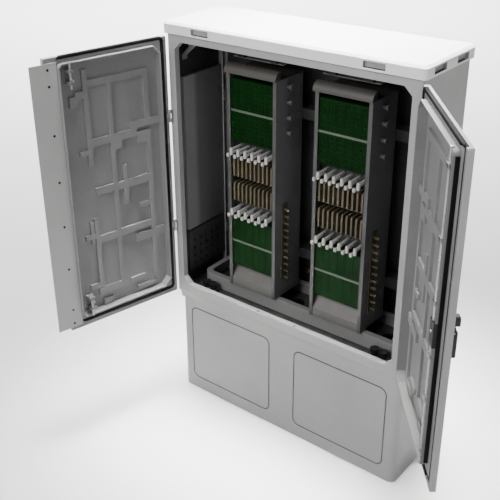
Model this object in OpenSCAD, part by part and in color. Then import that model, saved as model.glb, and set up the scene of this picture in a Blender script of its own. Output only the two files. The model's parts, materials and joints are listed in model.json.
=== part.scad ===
// Outdoor fibre distribution cabinet on its own plinth, two doors standing open.
// Origin: centre of the plinth's underside. +Z up, front faces -Y.

/* [Body] */
// Width of the body
body_w = 1000; // [800:10:1300]
// Depth of the body
body_d = 306; // [280:2:400]
// Height of the walls above the plinth
body_h = 1036; // [900:4:1300]
// Thickness of the moulded walls
wall_t = 5; // [4:0.5:7]
// Outer radius of the body's upright corners
corner_r = 8; // [4:1:12]

/* [Plinth] */
// Height of the plinth
plinth_h = 471; // [300:1:600]
// How far the plinth stands back at front and rear
plinth_inset = 20; // [10:1:30]
// Outer radius of the plinth's upright corners
plinth_r = 26; // [12:1:40]
// Height of the cove under the body
cove_h = 45; // [25:1:60]
// Width of the groove round each plinth panel
groove_w = 5; // [3:0.5:8]
// Depth of that groove
groove_d = 2.5; // [1:0.5:3]
// Anchor hole spacing across the width
anchor_x = 860; // [600:10:900]
// Anchor hole spacing across the depth
anchor_y = 180; // [120:5:180]
// Anchor hole diameter
anchor_hole_d = 18; // [12:1:22]

/* [Roof] */
// How far the roof stands out past the walls
roof_over = 10; // [6:1:20]
// Height of the roof's rim
roof_rim_h = 34; // [30:1:60]
// Height of the sloped edge above the rim
roof_bevel = 8; // [4:1:14]
// Open slot between the walls and the roof's rim
roof_gap = 4; // [2:0.5:8]
// Width of each vent recess
vent_w = 76; // [50:1:100]
// Height of each vent recess
vent_h = 21; // [12:1:24]

/* [Doors] */
// Width of the frame beside the opening
jamb_w = 34; // [28:1:50]
// Height of the frame below the opening
sill_h = 36; // [30:1:60]
// Height of the frame above the opening
head_h = 24; // [20:1:40]
// Cut across each corner of the opening
opening_chamfer = 28; // [10:1:40]
// Depth of the door frame
frame_d = 24; // [20:1:30]
// How far the left door stands open, in degrees
left_open = 102.9; // [95:0.1:130]
// How far the right door stands open, in degrees
right_open = 128.6; // [95:0.1:130]
// Thickness of a door's border
door_t = 18; // [16:1:24]
// Thickness of a door's skin
skin_t = 5; // [3:0.5:7]
// Height of the lip above the border
lip_h = 19; // [12:1:20]
// Height of the stiffening pads on the skin
pad_h = 9; // [5:1:9]
// Width of the overlap strip on the left door
strip_w = 98; // [80:1:110]

/* [Lock] */
// Height of the lock spindle above the plinth
spindle_h = 484; // [430:1:560]
// Length of the handle lever
lever_l = 84; // [74:2:96]
// Radius of the lock rods and shoot bolts
rod_r = 5; // [4:0.5:6]
// Pitch radius of the lock's pinion
pinion_r = 9; // [9:1.5:12]

/* [Racks] */
// Distance of each rack's middle from the cabinet's middle
rack_x = 187; // [160:1:200]
// Width of a rack between its side plates
rack_w = 216; // [190:2:230]
// Room above a rack for its hood and guide bar
rack_room = 122; // [100:1:140]
// Height of the lower adapter field
low_h = 208; // [150:2:240]
// Distance of a rack's face behind the door frame's face
rack_set = 80; // [70:1:90]
// Depth of a rack
rack_d = 160; // [140:2:170]
// Adapter modules across a rack
columns = 6; // [4:1:8]
// Splice cassettes across a rack
cassettes = 10; // [6:1:12]

/* [Hidden] */
$fn = 64;

shell = "gainsboro";
metal = "lightgrey";
dark = "dimgray";
black = "#1c1c1c";
green = "#1f5a28";
beige = "#b3a888";

eps = 1;
hx = body_w / 2;
hy = body_d / 2;
front = -hy;
body_top = plinth_h + body_h;
opening_x = hx - jamb_w;
opening_z0 = plinth_h + sill_h;
opening_z1 = body_top - head_h;
sheet_t = 2;

function behind(d) = front + d;

// --- 2D and 3D helpers -------------------------------------------------

module round_rect(w, d, r) {
    square([w - 2 * r, d], center = true);
    square([w, d - 2 * r], center = true);
    for (x = [-1, 1], y = [-1, 1])
        translate([x * (w / 2 - r), y * (d / 2 - r)]) circle(r);
}

// Extrudes a front-view outline (X, Z) from y to y + t
module upright(y, t) {
    translate([0, y + t, 0]) rotate([90, 0, 0]) linear_extrude(t) children();
}

// Rectangle given by its corners
module span2(x0, x1, z0, z1) {
    translate([x0, z0]) square([x1 - x0, z1 - z0]);
}

module box(x0, x1, y0, y1, z0, z1) {
    translate([x0, y0, z0]) cube([x1 - x0, y1 - y0, z1 - z0]);
}

// Round bar along Y from y0 to y1
module bar_y(x, y0, y1, z, r) {
    translate([x, y1, z]) rotate([90, 0, 0]) cylinder(r = r, h = y1 - y0);
}

// Round bar along X from x0 to x1
module bar_x(x0, x1, y, z, r) {
    translate([x0, y, z]) rotate([0, 90, 0]) cylinder(r = r, h = x1 - x0);
}

module bar_z(x, y, z0, z1, r) {
    translate([x, y, z0]) cylinder(r = r, h = z1 - z0);
}

// Outline of a rounded rectangle given by its corners
module round_span(x0, x1, z0, z1, r) {
    translate([(x0 + x1) / 2, (z0 + z1) / 2]) round_rect(x1 - x0, z1 - z0, r);
}

// --- Plinth ------------------------------------------------------------

plinth_d = body_d - 2 * plinth_inset;
plinth_t = 6;
foot_w = 56;
panel_gap = 116;
panel_side = 52;
panel_z0 = 57;
panel_z1 = plinth_h - 77;
panel_r = 30;

module groove(x0, x1) {
    difference() {
        round_span(x0 - groove_w / 2, x1 + groove_w / 2, panel_z0 - groove_w / 2,
            panel_z1 + groove_w / 2, panel_r);
        round_span(x0 + groove_w / 2, x1 - groove_w / 2, panel_z0 + groove_w / 2,
            panel_z1 - groove_w / 2, panel_r - groove_w);
    }
}

// Concave strip that carries the body's overhang
module cove() {
    r = (plinth_inset * plinth_inset + cove_h * cove_h) / (2 * plinth_inset);
    difference() {
        box(-hx, hx, front, front + plinth_inset + plinth_t, plinth_h - cove_h, plinth_h);
        bar_x(-hx - eps, hx + eps, front + plinth_inset - r, plinth_h - cove_h, r);
    }
}

module anchors() {
    for (x = [-1, 1], y = [-1, 1])
        translate([x * anchor_x / 2, y * anchor_y / 2, -eps])
            cylinder(d = anchor_hole_d, h = plinth_t + 2 * eps);
}

module plinth() {
    color(shell) difference() {
        union() {
            linear_extrude(plinth_h) round_rect(body_w, plinth_d, plinth_r);
            intersection() {
                union() {
                    cove();
                    mirror([0, 1, 0]) cove();
                }
                linear_extrude(plinth_h + eps) round_rect(body_w, body_d, corner_r);
            }
        }
        translate([0, 0, plinth_t]) linear_extrude(plinth_h - 2 * plinth_t)
            round_rect(body_w - 2 * plinth_t, plinth_d - 2 * plinth_t, plinth_r - plinth_t);
        translate([0, 0, -eps]) linear_extrude(plinth_h + 2 * eps)
            round_rect(body_w - 2 * foot_w, plinth_d - 2 * foot_w, plinth_r - plinth_t);
        upright(front + plinth_inset, groove_d) {
            groove(panel_gap / 2, hx - panel_side);
            groove(-hx + panel_side, -panel_gap / 2);
        }
        anchors();
    }
}

// --- Body --------------------------------------------------------------

module opening(grow) {
    x = opening_x + grow;
    z0 = opening_z0 - grow;
    z1 = opening_z1 + grow;
    c = opening_chamfer;
    polygon([[-x + c, z0], [x - c, z0], [x, z0 + c], [x, z1 - c], [x - c, z1], [-x + c, z1],
        [-x, z1 - c], [-x, z0 + c]]);
}

module body_outline(inset) {
    span2(-hx + inset, hx - inset, plinth_h + inset, body_top - inset);
}

rod_y = behind(11);

module front_frame() {
    color(shell) difference() {
        intersection() {
            upright(front, frame_d) body_outline(0);
            translate([0, 0, plinth_h - eps]) linear_extrude(body_h + 2 * eps)
                round_rect(body_w, body_d, corner_r);
        }
        upright(front - eps, frame_d + 2 * eps) opening(0);
        upright(front + wall_t, frame_d) difference() {
            body_outline(wall_t);
            opening(wall_t - 1);
        }
        for (x = [bolt_x, rod_x]) {
            bar_z(x, rod_y, opening_z1 - eps, opening_z1 + wall_t, rod_r + 1);
            bar_z(x, rod_y, opening_z0 - wall_t, opening_z0 + eps, rod_r + 1);
        }
    }
}

module side_wall() {
    flange = 20;
    y0 = behind(frame_d);
    y1 = hy - frame_d;
    box(hx - wall_t, hx, y0, y1, plinth_h, body_top);
    box(hx - wall_t - flange, hx - wall_t, y0, y0 + wall_t, plinth_h + wall_t, body_top - wall_t);
    box(hx - wall_t - flange, hx - wall_t, y1 - wall_t, y1, plinth_h + wall_t, body_top - wall_t);
}

module right_side_wall() {
    color(shell) side_wall();
}

module left_side_wall() {
    color(shell) mirror([1, 0, 0]) side_wall();
}

module rear_wall() {
    color(shell) difference() {
        intersection() {
            upright(hy - frame_d, frame_d) body_outline(0);
            translate([0, 0, plinth_h - eps]) linear_extrude(body_h + 2 * eps)
                round_rect(body_w, body_d, corner_r);
        }
        upright(hy - frame_d - eps, frame_d - wall_t + eps) body_outline(wall_t);
    }
}

// --- Roof --------------------------------------------------------------

tray_t = 3;
rim_z = body_top + roof_gap;
roof_z = rim_z + roof_rim_h;
roof_w = body_w + 2 * roof_over;
roof_d = body_d + 2 * roof_over;
roof_r = 14;
vent_z = rim_z + 7;
vent_depth = 12;
vent_x = 340;
vent_y = 74;
post_x = 400;
post_y = 90;
post_s = 36;
roof_bolt_r = 4;

module vent_pocket(w, h, d) {
    for (m = [0, 1]) {
        mirror([m, 0, 0]) {
            box(vent_x - w / 2, vent_x + w / 2, -roof_d / 2 - eps, -roof_d / 2 + d, vent_z, vent_z + h);
            box(vent_x - w / 2, vent_x + w / 2, roof_d / 2 - d, roof_d / 2 + eps, vent_z, vent_z + h);
            for (y = [-vent_y, vent_y])
                box(roof_w / 2 - d, roof_w / 2 + eps, y - w / 2, y + w / 2, vent_z, vent_z + h);
        }
    }
}

module roof_outer() {
    slope = roof_bevel;
    translate([0, 0, rim_z]) linear_extrude(roof_rim_h) round_rect(roof_w, roof_d, roof_r);
    translate([0, 0, roof_z]) hull() {
        linear_extrude(0.01) round_rect(roof_w, roof_d, roof_r);
        translate([0, 0, roof_bevel - 0.01]) linear_extrude(0.01)
            round_rect(roof_w - 2 * slope, roof_d - 2 * slope, roof_r - slope / 2, $fn = 32);
    }
}

module roof_cap() {
    color("white") difference() {
        roof_outer();
        difference() {
            translate([0, 0, rim_z - eps]) linear_extrude(roof_rim_h + eps)
                round_rect(roof_w - 2 * wall_t, roof_d - 2 * wall_t, roof_r - wall_t);
            intersection() {
                vent_pocket(vent_w + 2 * wall_t, vent_h + 3, vent_depth + 3);
                translate([0, 0, rim_z]) linear_extrude(roof_rim_h) square([roof_w, roof_d], center = true);
            }
        }
        vent_pocket(vent_w, vent_h, vent_depth);
        for (x = [-post_x, post_x], y = [-post_y, post_y])
            bar_z(x, y, roof_z - eps, roof_z + 3, roof_bolt_r);
    }
}

module roof_tray() {
    color(dark) difference() {
        union() {
            translate([0, 0, body_top]) linear_extrude(tray_t)
                round_rect(body_w - 24, body_d - 24, corner_r);
            for (x = [-post_x, post_x], y = [-post_y, post_y])
                box(x - post_s / 2, x + post_s / 2, y - post_s / 2, y + post_s / 2, body_top, roof_z);
        }
        for (x = [-post_x, post_x], y = [-post_y, post_y])
            bar_z(x, y, body_top - eps, roof_z + eps, roof_bolt_r);
        for (x = [-250:100:250])
            box(x - 35, x + 35, -40, 40, body_top - eps, body_top + tray_t + eps);
    }
}

module roof_bolts() {
    head_t = 6;
    color(metal) for (x = [-post_x, post_x], y = [-post_y, post_y]) {
        bar_z(x, y, body_top - eps, roof_z + 3, roof_bolt_r);
        translate([x, y, body_top - head_t]) cylinder(r = 8, h = head_t, $fn = 6);
    }
}

// --- Floor -------------------------------------------------------------

floor_t = 4;
floor_z = plinth_h + floor_t;
entry_d = 46;
entry_gap = 100;
entry_y = 40;
grommet_t = 3;

module entry_places() {
    for (x = [-3.5:1:3.5])
        translate([x * entry_gap, entry_y, 0]) children();
}

module floor_plate() {
    color(dark) difference() {
        box(-hx + wall_t + 0.5, hx - wall_t - 0.5, front + frame_d + 0.5, hy - frame_d - 0.5,
            plinth_h, floor_z);
        entry_places() bar_z(0, 0, plinth_h - eps, floor_z + eps, entry_d / 2);
    }
}

// Rubber sleeve in each cable entry
module floor_grommets() {
    color(black) entry_places() difference() {
        union() {
            bar_z(0, 0, plinth_h, floor_z, entry_d / 2);
            bar_z(0, 0, floor_z, floor_z + grommet_t, entry_d / 2 + 4);
        }
        bar_z(0, 0, plinth_h - eps, floor_z + grommet_t + eps, entry_d / 2 - 5);
    }
}

rim_top = plinth_h + 59;
inner_w = 888;
inner_y0 = behind(94);
inner_y1 = behind(272);
inner_d = inner_y1 - inner_y0;
inner_r = 32;
ledge_w = 22;

module inner_rim() {
    color(metal) translate([0, (inner_y0 + inner_y1) / 2, floor_z]) difference() {
        linear_extrude(rim_top - floor_z) round_rect(inner_w, inner_d, inner_r);
        translate([0, 0, -eps]) linear_extrude(rim_top - floor_z - 3 + eps)
            round_rect(inner_w - 6, inner_d - 6, inner_r - 3);
        translate([0, 0, -eps]) linear_extrude(rim_top - floor_z + 2 * eps)
            round_rect(inner_w - 2 * ledge_w, inner_d - 2 * ledge_w, inner_r - ledge_w / 2);
    }
}

clamp_x = 385;
clamp_y = behind(62);
knob_gap = 34;

module clamp_bases() {
    color(dark) for (x = [-clamp_x, clamp_x])
        box(x - 40, x + 40, clamp_y - 16, clamp_y + 16, floor_z, floor_z + 14);
}

module clamp_knobs() {
    color(black) for (x = [-clamp_x, clamp_x], k = [-1, 1])
        translate([x + k * knob_gap / 2, clamp_y, floor_z + 14]) {
            cylinder(r = 8, h = 8);
            translate([0, 0, 8]) cylinder(r = 13, h = 14);
        }
}

// --- Inside walls ------------------------------------------------------

liner_z0 = plinth_h + 244;
liner_z1 = body_top - 170;
liner_y0 = behind(56);
liner_y1 = hy - frame_d - 8;
liner_off = 15;
liner_face = hy - wall_t - sheet_t;

// Folded pan that stands off the side wall
module wall_pan(z0, z1) {
    x1 = hx - wall_t;
    x0 = x1 - liner_off;
    difference() {
        box(x0, x1, liner_y0, liner_y1, z0, z1);
        box(x0 + sheet_t, x1 + eps, liner_y0 + sheet_t, liner_y1 - sheet_t, z0 + sheet_t, z1 - sheet_t);
    }
}

module side_liners() {
    color(metal) {
        wall_pan(liner_z0, liner_z1);
        mirror([1, 0, 0]) wall_pan(liner_z0, liner_z1);
    }
}

// Sheet behind the racks
module rear_liner() {
    w = hx - wall_t - 25;
    color(dark) box(-w, w, liner_face, hy - wall_t, plinth_h + 20, body_top - 20);
}

plate_z0 = rim_top + 4;
plate_z1 = liner_z0 - 8;
plate_hole_r = 7;

module vent_plate() {
    difference() {
        wall_pan(plate_z0, plate_z1);
        for (y = [liner_y0 + 30:36:liner_y1 - 20], z = [plate_z0 + 24:34:plate_z1 - 16])
            bar_x(hx - wall_t - liner_off - eps, hx - wall_t - liner_off + sheet_t + eps, y, z,
                plate_hole_r);
    }
}

module vent_plates() {
    color(black) {
        vent_plate();
        mirror([1, 0, 0]) vent_plate();
    }
}

bracket_y = behind(70);

// Forked strut that ties the frame's upper corner to the side wall
module top_bracket() {
    x1 = hx - wall_t;
    z1 = body_top - 14;
    upright(bracket_y, 4) {
        polygon([[x1, z1 - 96], [x1, z1 - 76], [x1 - 34, z1 - 42], [x1 - 28, z1], [x1 - 42, z1],
            [x1 - 47, z1 - 36], [x1 - 76, z1 - 12], [x1 - 84, z1 - 22], [x1 - 40, z1 - 58]]);
    }
    box(x1 - 3, x1, bracket_y, bracket_y + 26, z1 - 96, z1 - 76);
}

module top_brackets() {
    color(metal) {
        top_bracket();
        mirror([1, 0, 0]) top_bracket();
    }
}

rail_zs = [plinth_h + 200, plinth_h + 760];
rack_back = behind(rack_set + rack_d);

// Top-hat rails that carry the racks on the rear wall
module rack_rails() {
    color(metal) for (z = rail_zs) difference() {
        box(-inner_w / 2, inner_w / 2, rack_back, liner_face, z - 20, z + 20);
        box(-inner_w / 2 - eps, inner_w / 2 + eps, rack_back + sheet_t, liner_face + eps,
            z - 20 + sheet_t, z + 20 - sheet_t);
    }
}

earth_z = plinth_h + 110;
earth_n = 6;

module earth_bar() {
    color("goldenrod") {
        box(-70, 70, liner_face - 26, liner_face - 20, earth_z - 12, earth_z + 12);
        for (x = [-60, 60]) box(x - 6, x + 6, liner_face - 20, liner_face, earth_z - 6, earth_z + 6);
    }
}

module earth_studs() {
    color(metal) for (i = [0:earth_n - 1]) {
        x = -50 + i * 20;
        bar_y(x, liner_face - 40, liner_face - 26, earth_z, 3);
    }
}

// --- Racks -------------------------------------------------------------

rack_face = behind(rack_set);
rack_z0 = rim_top;
rack_z1 = body_top - rack_room;
half_w = rack_w / 2;
lug_w = 14;

// Heights of the fields, measured up from the rack's foot
foot_top = rack_z0 + 92;
low_z0 = foot_top;
low_z1 = low_z0 + low_h;
hook_low_z = low_z1 + 30;
case_z0 = low_z1 + 64;
case_h = 72;
case_gap = 26;
hook_high_z = case_z0 + 2 * case_h + case_gap + 36;
up_z0 = hook_high_z + 32;
up_z1 = rack_z1 - 22;

module at_left() {
    translate([-rack_x, 0, 0]) children();
}

module at_right() {
    translate([rack_x, 0, 0]) children();
}

// Folded sheet: two sides, back and front lugs
module rack_frame() {
    for (m = [0, 1]) mirror([m, 0, 0]) {
        box(half_w - sheet_t, half_w, rack_face, rack_back, rack_z0, rack_z1);
        box(half_w - lug_w, half_w, rack_face, rack_face + sheet_t, rack_z0, rack_z1);
    }
    box(-half_w, half_w, rack_back - sheet_t, rack_back, rack_z0, rack_z1);
}

module left_rack_frame() {
    color(metal) at_left() rack_frame();
}

module right_rack_frame() {
    color(metal) at_right() rack_frame();
}

hood_r = 32;

// Curved cable guide over the upper field
module rack_hood() {
    y0 = rack_face - 12;
    difference() {
        box(-half_w - 4, half_w + 4, y0, y0 + hood_r, rack_z1, rack_z1 + hood_r);
        bar_x(-half_w - 4 + sheet_t, half_w + 4 - sheet_t, y0 + hood_r, rack_z1, hood_r - sheet_t);
        difference() {
            box(-half_w - 4 - eps, half_w + 4 + eps, y0 - eps, y0 + hood_r, rack_z1 - eps,
                rack_z1 + hood_r + eps);
            bar_x(-half_w - 4 - eps, half_w + 4 + eps, y0 + hood_r, rack_z1, hood_r);
        }
    }
    box(-half_w - 4, half_w + 4, rack_face, rack_back, rack_z1, rack_z1 + sheet_t);
}

module rack_hoods() {
    color(beige) {
        at_left() rack_hood();
        at_right() rack_hood();
    }
}

// Sloped tray below the lower field
module rack_foot() {
    w = half_w - sheet_t;
    y1 = rack_face + 50;
    translate([-w, 0, 0]) rotate([90, 0, 90]) linear_extrude(2 * w)
        polygon([[rack_face + sheet_t, rack_z0], [y1, rack_z0], [y1, foot_top - 2], [y1 - 3, foot_top - 2],
            [rack_face + sheet_t, rack_z0 + 34]]);
}

module rack_feet() {
    color(metal) {
        at_left() rack_foot();
        at_right() rack_foot();
    }
}

field_w = rack_w - 2 * lug_w;
module_w = field_w / columns;
module_gap = 0.6;
bar_h = 8;
adapter_y0 = rack_face + 6;
adapter_d = 60;

function up_mid() = (up_z0 + up_z1) / 2;
function low_mid() = (low_z0 + low_z1) / 2;

// One row of upright adapter modules; each carries ports on its face when n is set
module adapter_row(z0, z1, n) {
    for (i = [0:columns - 1]) {
        x0 = -field_w / 2 + i * module_w + module_gap / 2;
        x1 = x0 + module_w - module_gap;
        difference() {
            box(x0, x1, adapter_y0, adapter_y0 + adapter_d, z0, z1);
            for (k = [0:1:n - 1])
                box(x0 + 5, x1 - 5, adapter_y0 - eps, adapter_y0 + 8, z0 + 6 + k * (z1 - z0 - 8) / n,
                    z0 + 2 + (k + 1) * (z1 - z0 - 8) / n);
        }
    }
}

ports = 6;

module upper_adapters() {
    adapter_row(up_z0, up_mid() - bar_h / 2, ports);
    adapter_row(up_mid() + bar_h / 2, up_z1, ports);
}

module lower_adapters() {
    adapter_row(low_z0, low_mid() - bar_h / 2, 0);
    adapter_row(low_mid() + bar_h / 2, low_z1, 0);
}

module left_upper_adapters() {
    color(green) at_left() upper_adapters();
}

module right_upper_adapters() {
    color(green) at_right() upper_adapters();
}

module left_lower_adapters() {
    color(green) at_left() lower_adapters();
}

module right_lower_adapters() {
    color(green) at_right() lower_adapters();
}

module adapter_bar(z) {
    box(-half_w + sheet_t, half_w - sheet_t, adapter_y0 - 4 + sheet_t, adapter_y0 + adapter_d,
        z - bar_h / 2, z + bar_h / 2);
}

module adapter_bars() {
    color("darkseagreen") {
        at_left() adapter_bar(up_mid());
        at_left() adapter_bar(low_mid());
        at_right() adapter_bar(up_mid());
        at_right() adapter_bar(low_mid());
    }
}

hook_r = 4.5;
hook_l = 72;
hook_tip_r = 6.5;
holder_t = 3;
holder_y = rack_face + 40;

// One hook: a rod, and a finger turned down at its end
module hook(x, z, finger) {
    y0 = holder_y - hook_l;
    bar_y(x, y0, holder_y, z, hook_r);
    bar_z(x, y0 + hook_tip_r, z - finger, z + hook_tip_r, hook_tip_r);
}

module hook_rows(z) {
    for (i = [0:columns - 1]) {
        x = -field_w / 2 + (i + 0.5) * module_w;
        hook(x - module_w / 4, z - 14, 9);
        hook(x + module_w / 4, z + 9, 22);
    }
}

module cable_hooks() {
    hook_rows(hook_high_z);
    hook_rows(hook_low_z);
}

module left_cable_hooks() {
    color("whitesmoke") at_left() cable_hooks();
}

module right_cable_hooks() {
    color("whitesmoke") at_right() cable_hooks();
}

case_w = 7;
case_d = 66;
case_pitch = (rack_w - 2 * lug_w) / cassettes;

module cassette_row(z0) {
    for (i = [0:cassettes - 1]) {
        x = -field_w / 2 + (i + 0.5) * case_pitch;
        translate([x - case_w / 2, 0, 0]) rotate([90, 0, 90]) linear_extrude(case_w)
            polygon([[rack_face + 6, z0], [rack_face + 6, z0 + case_h - 6], [rack_face + 10, z0 + case_h],
                [rack_face + 6 + case_d, z0 + case_h], [rack_face + 6 + case_d, z0]]);
    }
}

module cassette_rows() {
    cassette_row(case_z0);
    cassette_row(case_z0 + case_h + case_gap);
}

module left_cassettes() {
    color(beige) at_left() cassette_rows();
}

module right_cassettes() {
    color(beige) at_right() cassette_rows();
}

// Shelves under both cassette rows with the upright plates that carry the hooks
module cassette_holder() {
    w = half_w - sheet_t;
    for (z = [case_z0, case_z0 + case_h + case_gap])
        box(-w, w, rack_face + 14, rack_back - sheet_t, z - holder_t, z);
    for (z = [hook_low_z, hook_high_z])
        box(-w, w, holder_y, holder_y + sheet_t, z - 24, z + 22);
    box(-w, w, holder_y, rack_back - sheet_t, hook_high_z - 24 - holder_t, hook_high_z - 24);
    box(-w, w, holder_y, rack_back - sheet_t, hook_low_z - 24 - holder_t, hook_low_z - 24);
}

module cassette_holders() {
    color(dark) {
        at_left() cassette_holder();
        at_right() cassette_holder();
    }
}

spool_pitch = 56;
spool_y = rack_face + 70;

// Slack spools on a rack's side
module spools() {
    for (k = [0:3]) {
        z = rack_z1 - 34 - k * spool_pitch;
        bar_x(half_w, half_w + 16, spool_y, z, 7);
        bar_x(half_w + 16, half_w + 19, spool_y, z, 11);
    }
}

module storage_spools() {
    color(beige) for (m = [0, 1]) {
        at_left() mirror([m, 0, 0]) spools();
        at_right() mirror([m, 0, 0]) spools();
    }
}

comb_n = 11;
comb_pitch = 28;
comb_y = rack_face + 52;

// Toothed cable comb on a rack's side
module comb() {
    z0 = rack_z0 + 78;
    box(half_w, half_w + 3, comb_y - 10, comb_y + 20, z0 - 10, z0 + comb_n * comb_pitch);
    for (k = [0:comb_n - 1]) {
        z = z0 + k * comb_pitch;
        box(half_w + 3, half_w + 24, comb_y, comb_y + 6, z, z + 9);
    }
}

module side_combs() {
    color(beige) for (m = [0, 1]) {
        at_left() mirror([m, 0, 0]) comb();
        at_right() mirror([m, 0, 0]) comb();
    }
}

guide_z = rack_z1 + hood_r + 14;
guide_y = rack_face + 40;

// Cable guide bar above each rack, hung from the roof tray
module guide_bar() {
    box(-half_w, half_w, guide_y, guide_y + 24, guide_z, guide_z + 3);
    box(-half_w, half_w, guide_y + 21, guide_y + 24, guide_z + 3, body_top);
}

module guide_bars() {
    color(metal) {
        at_left() guide_bar();
        at_right() guide_bar();
    }
}

module clip(x) {
    box(x - 14, x + 14, guide_y - 5, guide_y + 16, guide_z + 3, guide_z + 19);
}

module guide_clips() {
    color(black) {
        at_left() for (x = [-70, 70]) clip(x);
        at_right() for (x = [-70, 70]) clip(x);
    }
}

// --- Hinges ------------------------------------------------------------

pin_in = 1;
pin_y = behind(-4.5);
pin_x = hx - pin_in;
pin_r = 2.5;
knuckle_r = 4.2;
hinge_h = 50;
hinge_zs = [plinth_h + 287, body_top - 304];
knuckle_h = 17.4;
run_fit = 0.05;
leaf_t = 2.2;
leaf_w = 14;

module frame_hinge(z) {
    difference() {
        union() {
            for (s = [-1, 1])
                bar_z(pin_x, pin_y, z + s * 17 - 8, z + s * 17 + 8, knuckle_r);
            for (s = [-1, 1])
                box(pin_x - leaf_w, pin_x, front - leaf_t, front, z + s * 17 - 8, z + s * 17 + 8);
            box(pin_x - leaf_w, pin_x - knuckle_r - 1, front - leaf_t, front, z - 25, z + 25);
        }
        bar_z(pin_x, pin_y, z - hinge_h, z + hinge_h, pin_r);
    }
}

module frame_hinges() {
    color(metal) for (z = hinge_zs) {
        frame_hinge(z);
        mirror([1, 0, 0]) frame_hinge(z);
    }
}

module hinge_pins() {
    color(metal) for (z = hinge_zs, m = [0, 1]) mirror([m, 0, 0])
        bar_z(pin_x, pin_y, z - hinge_h / 2, z + hinge_h / 2, pin_r);
}

block_x = 12;
block_y = 9;

module door_hinge(z) {
    difference() {
        union() {
            bar_z(pin_x, pin_y, z - knuckle_h / 2, z + knuckle_h / 2, knuckle_r);
            box(pin_x - block_x, pin_x, pin_y - block_y, pin_y - 0.6, z - knuckle_h / 2, z + knuckle_h / 2);
        }
        bar_z(pin_x, pin_y, z - hinge_h, z + hinge_h, pin_r + run_fit);
    }
}

// --- Doors, drawn shut and turned about their pins ---------------------

seam_x = -16;
door_gap = 5;
seal_gap = 0.5;
door_y1 = behind(-door_gap);
door_y0 = door_y1 - door_t;
skin_y = door_y0 + skin_t;
lip_y = door_y1 + lip_h;
lip_t = 4;
door_side = 3;
door_z0 = plinth_h - 5;
door_z1 = body_top - 7;
lip_in = 5;
lip_z0 = opening_z0 + 6;
lip_z1 = opening_z1 - 6;
lip_r = 16;
seal_w = 12;
seal_d = 8;
bulb_h = 12;
strip_t = 2.4;
strip_clear = 0.6;
left_edge = seam_x - 2;
right_edge = seam_x + 2;
strip_x0 = left_edge - 46;
strip_x1 = strip_x0 + strip_w;
left_lip = strip_x0;
right_lip = strip_x1 + 6;
bolt_x = left_lip - 41;
rod_x = right_lip + 22;

module swing_left() {
    translate([-pin_x, pin_y, 0]) rotate([0, 0, -left_open]) translate([pin_x, -pin_y, 0]) children();
}

module swing_right() {
    translate([pin_x, pin_y, 0]) rotate([0, 0, right_open]) translate([-pin_x, -pin_y, 0]) children();
}

module cut_seats() {
    for (z = hinge_zs) {
        bar_z(pin_x, pin_y, z - 26, z + 26, knuckle_r + 0.5);
        box(pin_x - block_x, pin_x, pin_y - block_y, pin_y, z - knuckle_h / 2, z + knuckle_h / 2);
    }
}

// Door shell with its free edge at x = edge and its lip ending at x = lip
module door_shell(edge, lip) {
    outer = opening_x - lip_in;
    difference() {
        union() {
            upright(door_y0, door_t) round_span(edge, hx - door_side, door_z0, door_z1, 6);
            upright(door_y1, lip_h) intersection() {
                round_span(lip, outer, lip_z0, lip_z1, lip_r);
                opening(-lip_in);
            }
        }
        upright(skin_y, door_t + lip_h) intersection() {
            round_span(lip + lip_t, outer - lip_t, lip_z0 + lip_t, lip_z1 - lip_t, lip_r - lip_t);
            opening(-lip_in - lip_t);
        }
        cut_seats();
    }
}

seal_x = opening_x + 6;
seal_top = opening_z1 + 13;
seal_bottom = opening_z0 - 17;

// Path of the seal: three sides, from the free edge to the hinge side
module seal_path(x0, grow) {
    difference() {
        round_span(x0, seal_x + seal_w + grow, seal_bottom - seal_w / 2 - grow,
            seal_top + seal_w / 2 + grow, 18);
        round_span(x0 - 100, seal_x - grow, seal_bottom + seal_w / 2 + grow, seal_top - seal_w / 2 - grow, 8);
        span2(x0 - 100, x0, door_z0, door_z1);
    }
}

module seal(x0, y0, y1) {
    upright(y0, y1 - y0) seal_path(x0, 0);
}

// The pads are laid out on a field of this width and height, and stretch with the door
layout_w = 500;
layout_z0 = 513;
layout_h = 964;

// One raised pad on a door's skin, u measured from the hinge side
module pad(u0, u1, z0, z1) {
    sx = hx / layout_w;
    sz = (lip_z1 - lip_z0) / layout_h;
    span2(hx - u1 * sx, hx - u0 * sx, lip_z0 + (z0 - layout_z0) * sz, lip_z0 + (z1 - layout_z0) * sz);
}

module tall_pads() {
    pad(326, 345, 1090, 1440);
    pad(326, 345, 600, 884);
    pad(236, 254, 566, 1400);
    pad(84, 103, 1190, 1400);
    pad(84, 103, 560, 1172);
    pad(194, 212, 905, 1062);
    pad(348, 362, 786, 876);
}

module cross_pads() {
    pad(84, 345, 1374, 1400);
    pad(345, 376, 1338, 1366);
    pad(366, 398, 1314, 1352);
    pad(40, 166, 1186, 1212);
    pad(254, 326, 1157, 1186);
    pad(206, 240, 1128, 1186);
    pad(142, 210, 1157, 1186);
    pad(103, 142, 1127, 1172);
    pad(345, 376, 1133, 1152);
    pad(254, 326, 972, 1000);
    pad(212, 240, 968, 1000);
    pad(103, 196, 969, 1000);
    pad(345, 384, 806, 826);
    pad(254, 330, 782, 810);
    pad(103, 240, 785, 812);
    pad(40, 170, 736, 770);
    pad(103, 148, 874, 892);
    pad(345, 382, 598, 622);
    pad(234, 348, 567, 596);
    pad(143, 208, 570, 592);
    pad(366, 411, 513, 528);
    pad(292, 332, 521, 546);
    pad(97, 181, 534, 550);
}

module pads() {
    upright(skin_y - eps, pad_h + eps) {
        tall_pads();
        cross_pads();
    }
}

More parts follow.
